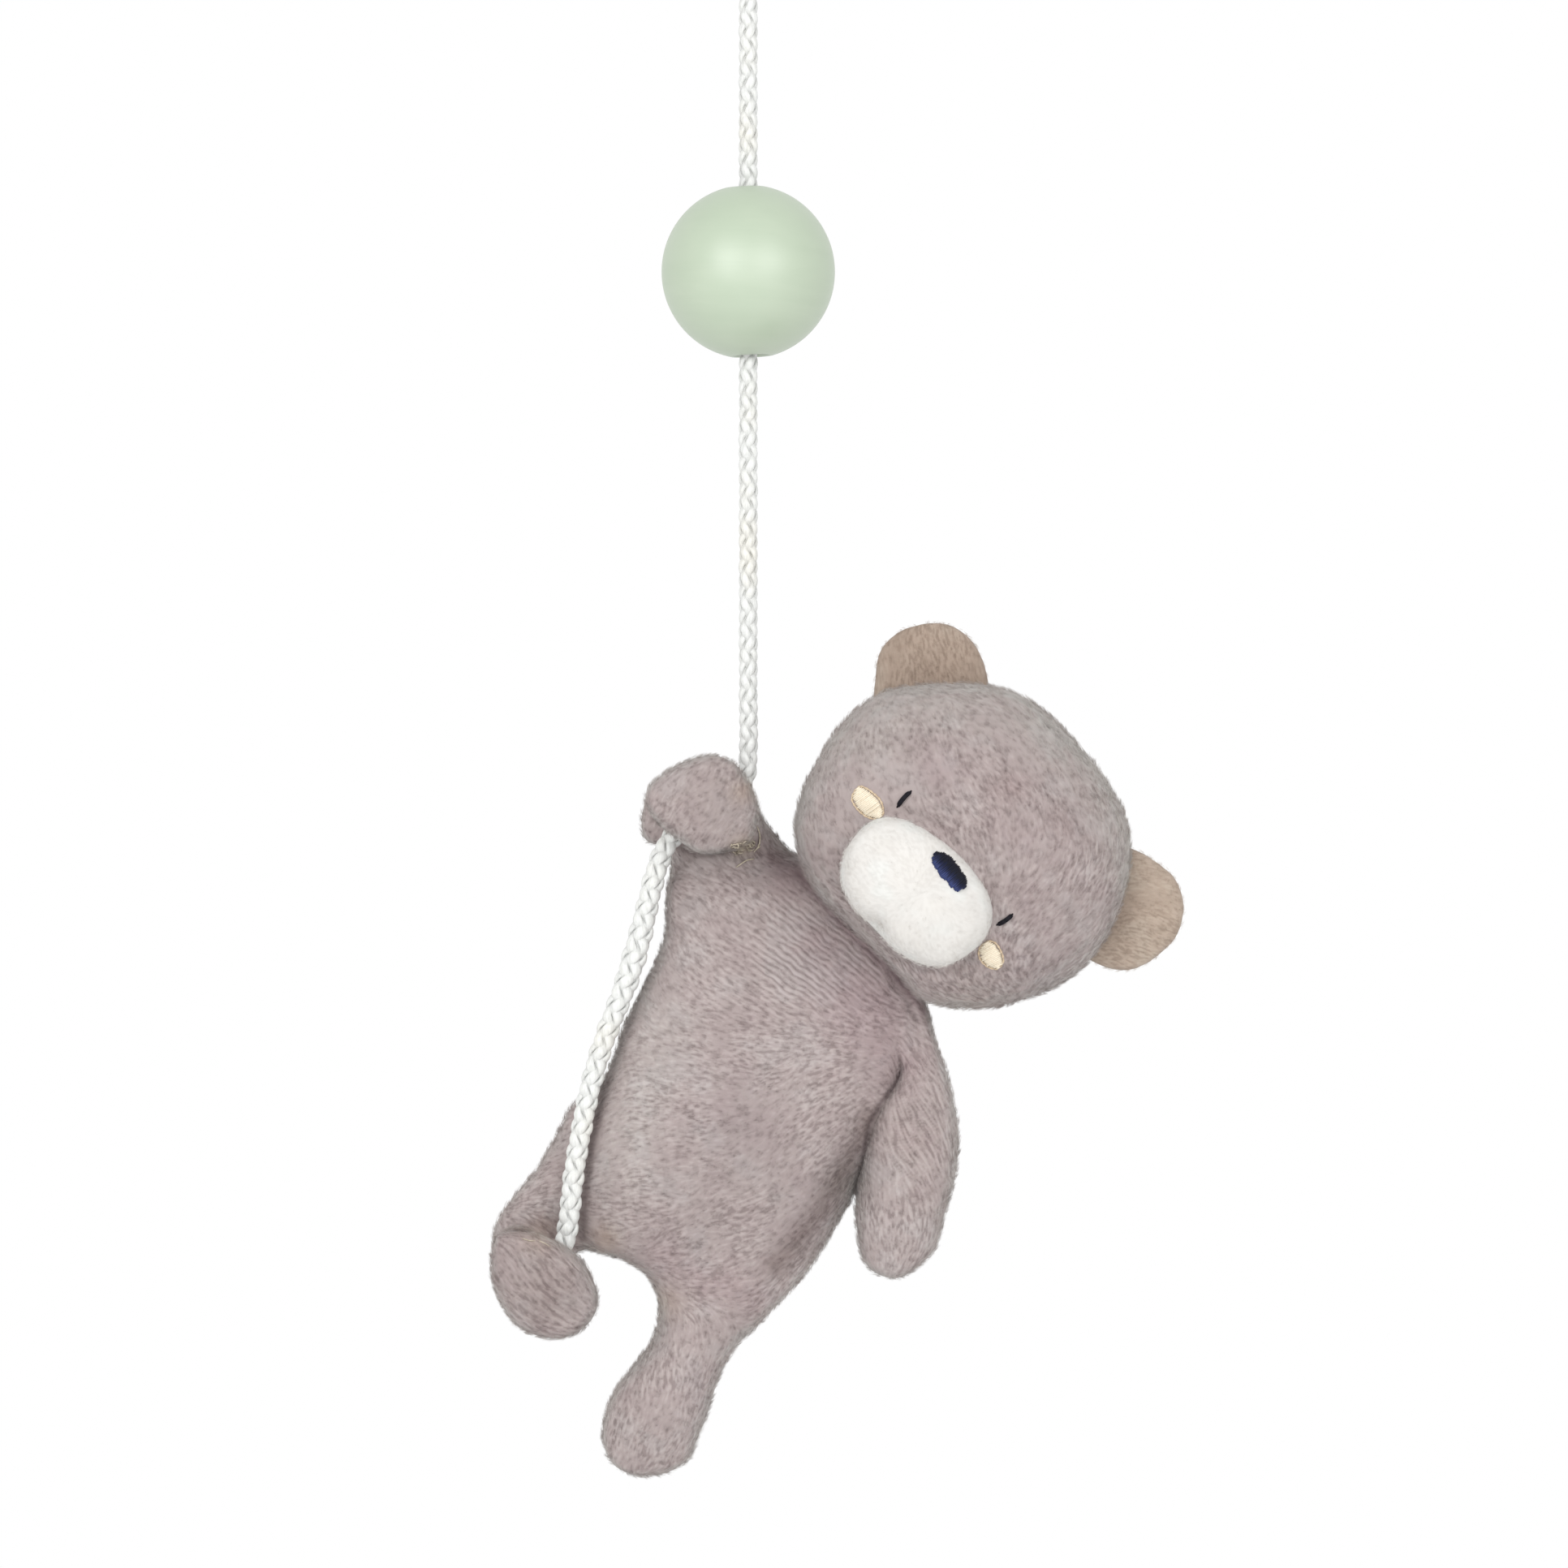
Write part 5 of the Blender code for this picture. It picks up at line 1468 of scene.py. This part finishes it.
def stitched(name, made, material, node, body_name):
    piece = new_mesh(name, made[0], made[1], material)
    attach(piece, body_name)
    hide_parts(node)
    return piece


stitched("nose_satin_stitch", satin(NOSE, muzzle_tree, ACROSS, 0.30, 0.20, 0.75, 3.0), navy, "nose_stitching", "head")
for name, outline, way, node, seed in (("cheek_upper", UPPER_CHEEK, (0.80, -0.60), "upper_cheek_patch", 7.0),
                                       ("cheek_lower", LOWER_CHEEK, (0.88, -0.47), "lower_cheek_patch", 8.0)):
    stitched(name + "_satin_stitch", satin(outline, head_tree, way, 0.30, 0.20, 0.75, seed), cream, node, "head")
    # tan ring round the cheek patch: pile over its edge, and painted shade
    rim = new_mesh(name + "_edge_pile_and_shade", *pile_and_shade_outline(outline, head_tree, 0.17, 0.08, 0.32), peach)
    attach(rim, "head")


def eye(name, start, end, sag, tree, node):
    """Three threads side by side, bowed a little, as one closed eye."""
    a, b = np.array(start), np.array(end)
    w = (b - a) / np.linalg.norm(b - a)
    n = np.array([w[1], -w[0]])
    parts = []
    for k, (shift, cut) in enumerate(((-0.20, 0.08), (0.0, 0.0), (0.20, 0.12))):
        points = []
        for i in range(13):
            q = cut + (1 - 2 * cut) * i / 12.0
            place = a + (b - a) * q + n * (sag * 4 * q * (1 - q) + shift)
            arch = math.sin(math.pi * i / 12.0) ** 0.5 if 0 < i < 12 else 0.0
            points.append((place[0], on_front(tree, place[0], place[1]) + 0.2 - 0.75 * arch, place[1]))
        parts.append(thread(points, 0.21, 7, 1.0, 0.6))
    stitched(name, gathered(parts), black, node, "head")


eye("eye_upper_stitch", *EYE_UPPER, 0.22, head_tree, "upper_eye_stitches")
eye("eye_lower_stitch", *EYE_LOWER, -0.20, head_tree, "lower_eye_stitches")


def loose_thread(points, radius, lift):
    """Thread ends along points, each kept on one surface: none crosses to cloth that lies further back."""
    runs = [[]]
    for p in spline([(p[0], 0.0, p[1]) for p in points], 0.25):
        y = on_front(body_tree, p[0], p[2])
        if y is None or (runs[-1] and abs(y - runs[-1][-1][1]) > 0.45):
            runs.append([])
        if y is not None:
            runs[-1].append((p[0], y, p[2]))
    parts = []
    for run in runs:
        if len(run) < 4:
            continue
        out = []
        for i, (x, y, d) in enumerate(run):
            q = i / (len(run) - 1.0)
            arch = (lift + 0.15) * math.sin(math.pi * q) ** 0.6 if 0 < i < len(run) - 1 else 0.0
            out.append((x, y + 0.15 - arch, d))
        parts.append(thread(out, radius, 6, 1.0, 0.7))
    return parts


def tangle(right, down, radius, count, thick, seed):
    """Short curled ends of thread about one place."""
    out = []
    for i in range(count):
        a = 2.4 * i + seed
        r = radius * (0.30 + 0.70 * abs(math.sin(1.7 * i + seed)))
        sweep_by = 1.6 + 0.9 * math.sin(2.9 * i + seed)
        x, d = right + 0.65 * math.sin(5.3 * i + seed), down + 0.45 * math.sin(7.9 * i + 2.0 * seed)
        bow = [(x + r * math.cos(a + sweep_by * q), d + 0.75 * r * math.sin(a + sweep_by * q)) for q in (0.0, 0.33, 0.66, 1.0)]
        out += loose_thread(bow, thick, 0.45 + 0.25 * math.sin(i + seed))
    return out


stitched("paw_tack_threads", gathered(
    loose_thread([(-2.2, 198.6), (-1.2, 197.9), (-0.2, 197.3), (1.0, 197.1)], 0.13, 0.6)
    + loose_thread([(1.5, 191.4), (2.0, 193.0), (1.8, 194.8), (0.9, 196.0)], 0.12, 0.6)
    + tangle(-1.8, 195.2, 1.0, 26, 0.09, 0.6) + tangle(0.4, 194.6, 1.0, 24, 0.09, 2.1)), tan, "paw_tack_stitch", "bear")
stitched("foot_tack_threads", gathered(
    loose_thread([(-38.9, 262.0), (-37.6, 262.4), (-36.4, 262.5)], 0.09, 0.25)
    + loose_thread([(-35.9, 262.5), (-34.9, 262.9), (-33.8, 263.6)], 0.09, 0.25)), tan, "foot_tack_stitch", "bear")

# ---------------------------------------------------------------- stage
stage_material, nodes, links, bsdf = shader("pale_floor")
coords = nodes.new("ShaderNodeTexCoord").outputs["Object"]
grain = noise_node(nodes, links, coords, 30.0, 2.0)
r = ramp(nodes, [(0.3, (0.88, 0.88, 0.88)), (0.7, (0.91, 0.91, 0.91))])
links.new(grain.outputs["Fac"], r.inputs["Fac"])
links.new(r.outputs["Color"], bsdf.inputs["Base Color"])
bsdf.inputs["Roughness"].default_value = 0.9
count = 96
ring = [(0.55 * math.cos(2 * math.pi * i / count), 0.55 * math.sin(2 * math.pi * i / count), -0.40) for i in range(count)]
floor_mesh = bpy.data.meshes.new("floor")
floor_mesh.from_pydata(ring, [], [list(range(count))])
floor_mesh.materials.append(stage_material)
floor = bpy.data.objects.new("floor", floor_mesh)
bpy.context.scene.collection.objects.link(floor)

sky = bpy.data.worlds.new("studio")
sky.use_nodes = True
sky.node_tree.nodes["Background"].inputs["Color"].default_value = (1.0, 1.0, 1.0, 1.0)
sky.node_tree.nodes["Background"].inputs["Strength"].default_value = 1.0
bpy.context.scene.world = sky
bpy.context.scene.view_settings.view_transform = "Standard"


def area_light(name, place, target, size, power):
    data = bpy.data.lights.new(name, "AREA")
    data.shape = "DISK"
    data.size = size
    data.energy = power
    o = bpy.data.objects.new(name, data)
    o.location = place
    o.rotation_euler = (Vector(target) - Vector(place)).to_track_quat("-Z", "Y").to_euler()
    bpy.context.scene.collection.objects.link(o)


area_light("softbox_left", (-0.44, -0.88, 0.10), (0.0, 0.0, -0.18), 0.60, 4.3)
area_light("softbox_right", (0.44, -0.88, 0.06), (0.0, 0.0, -0.18), 0.60, 3.2)

# ---------------------------------------------------------------- pile
def patch_points(outline, tree):
    loop = closed_outline(outline, 0.5)
    middle = loop.mean(axis=0)
    points = [middle + (p - middle) * k for p in loop for k in (0.25, 0.5, 0.75, 1.0)]
    return [np.array((p[0], on_front(tree, p[0], p[1]), p[1])) for p in points]


def line_points(a, b, tree, count=9):
    points = [np.array(a) + (np.array(b) - np.array(a)) * i / (count - 1.0) for i in range(count)]
    return [np.array((p[0], on_front(tree, p[0], p[1]), p[1])) for p in points]


beside_cord = thin_near(torso_piece, [(evenly(cord_line, 1.0), 2.4, 3.6)], 0.45)
around_face = thin_near(head_piece, [(patch_points(UPPER_CHEEK, head_tree), 0.5, 1.2), (patch_points(LOWER_CHEEK, head_tree), 0.5, 1.2),
                                     (line_points(*EYE_UPPER, head_tree), 0.7, 1.3),
                                     (line_points(*EYE_LOWER, head_tree), 0.7, 1.3)])
around_nose = thin_near(muzzle_piece, [(patch_points(NOSE, muzzle_tree), 0.5, 1.0)], 0.1)
grow(torso_piece, 8.0, 0.85, 20.0, 0.034, 3, spread=0.35, clump=0.1, group=beside_cord)
grow(leg_piece, 8.0, 0.85, 20.0, 0.034, 4, spread=0.35, clump=0.1, group=thin_near(leg_piece, [], 0.45))
grow(arm_piece, 8.0, 0.85, 20.0, 0.034, 5, spread=0.35, clump=0.1, group=thin_near(arm_piece, [], 0.30))
grow(head_piece, 9.0, 0.95, 22.0, 0.034, 6, spread=0.35, clump=0.1, group=around_face)
grow(muzzle_piece, 6.0, 0.5, 22.0, 0.028, 7, spread=0.35, clump=0.1, group=around_nose)
for k, ear in enumerate(ears):
    grow(ear, 6.0, 0.55, 22.0, 0.028, 8 + k, spread=0.35, clump=0.1, group=thin_near(ear, [], 0.4))
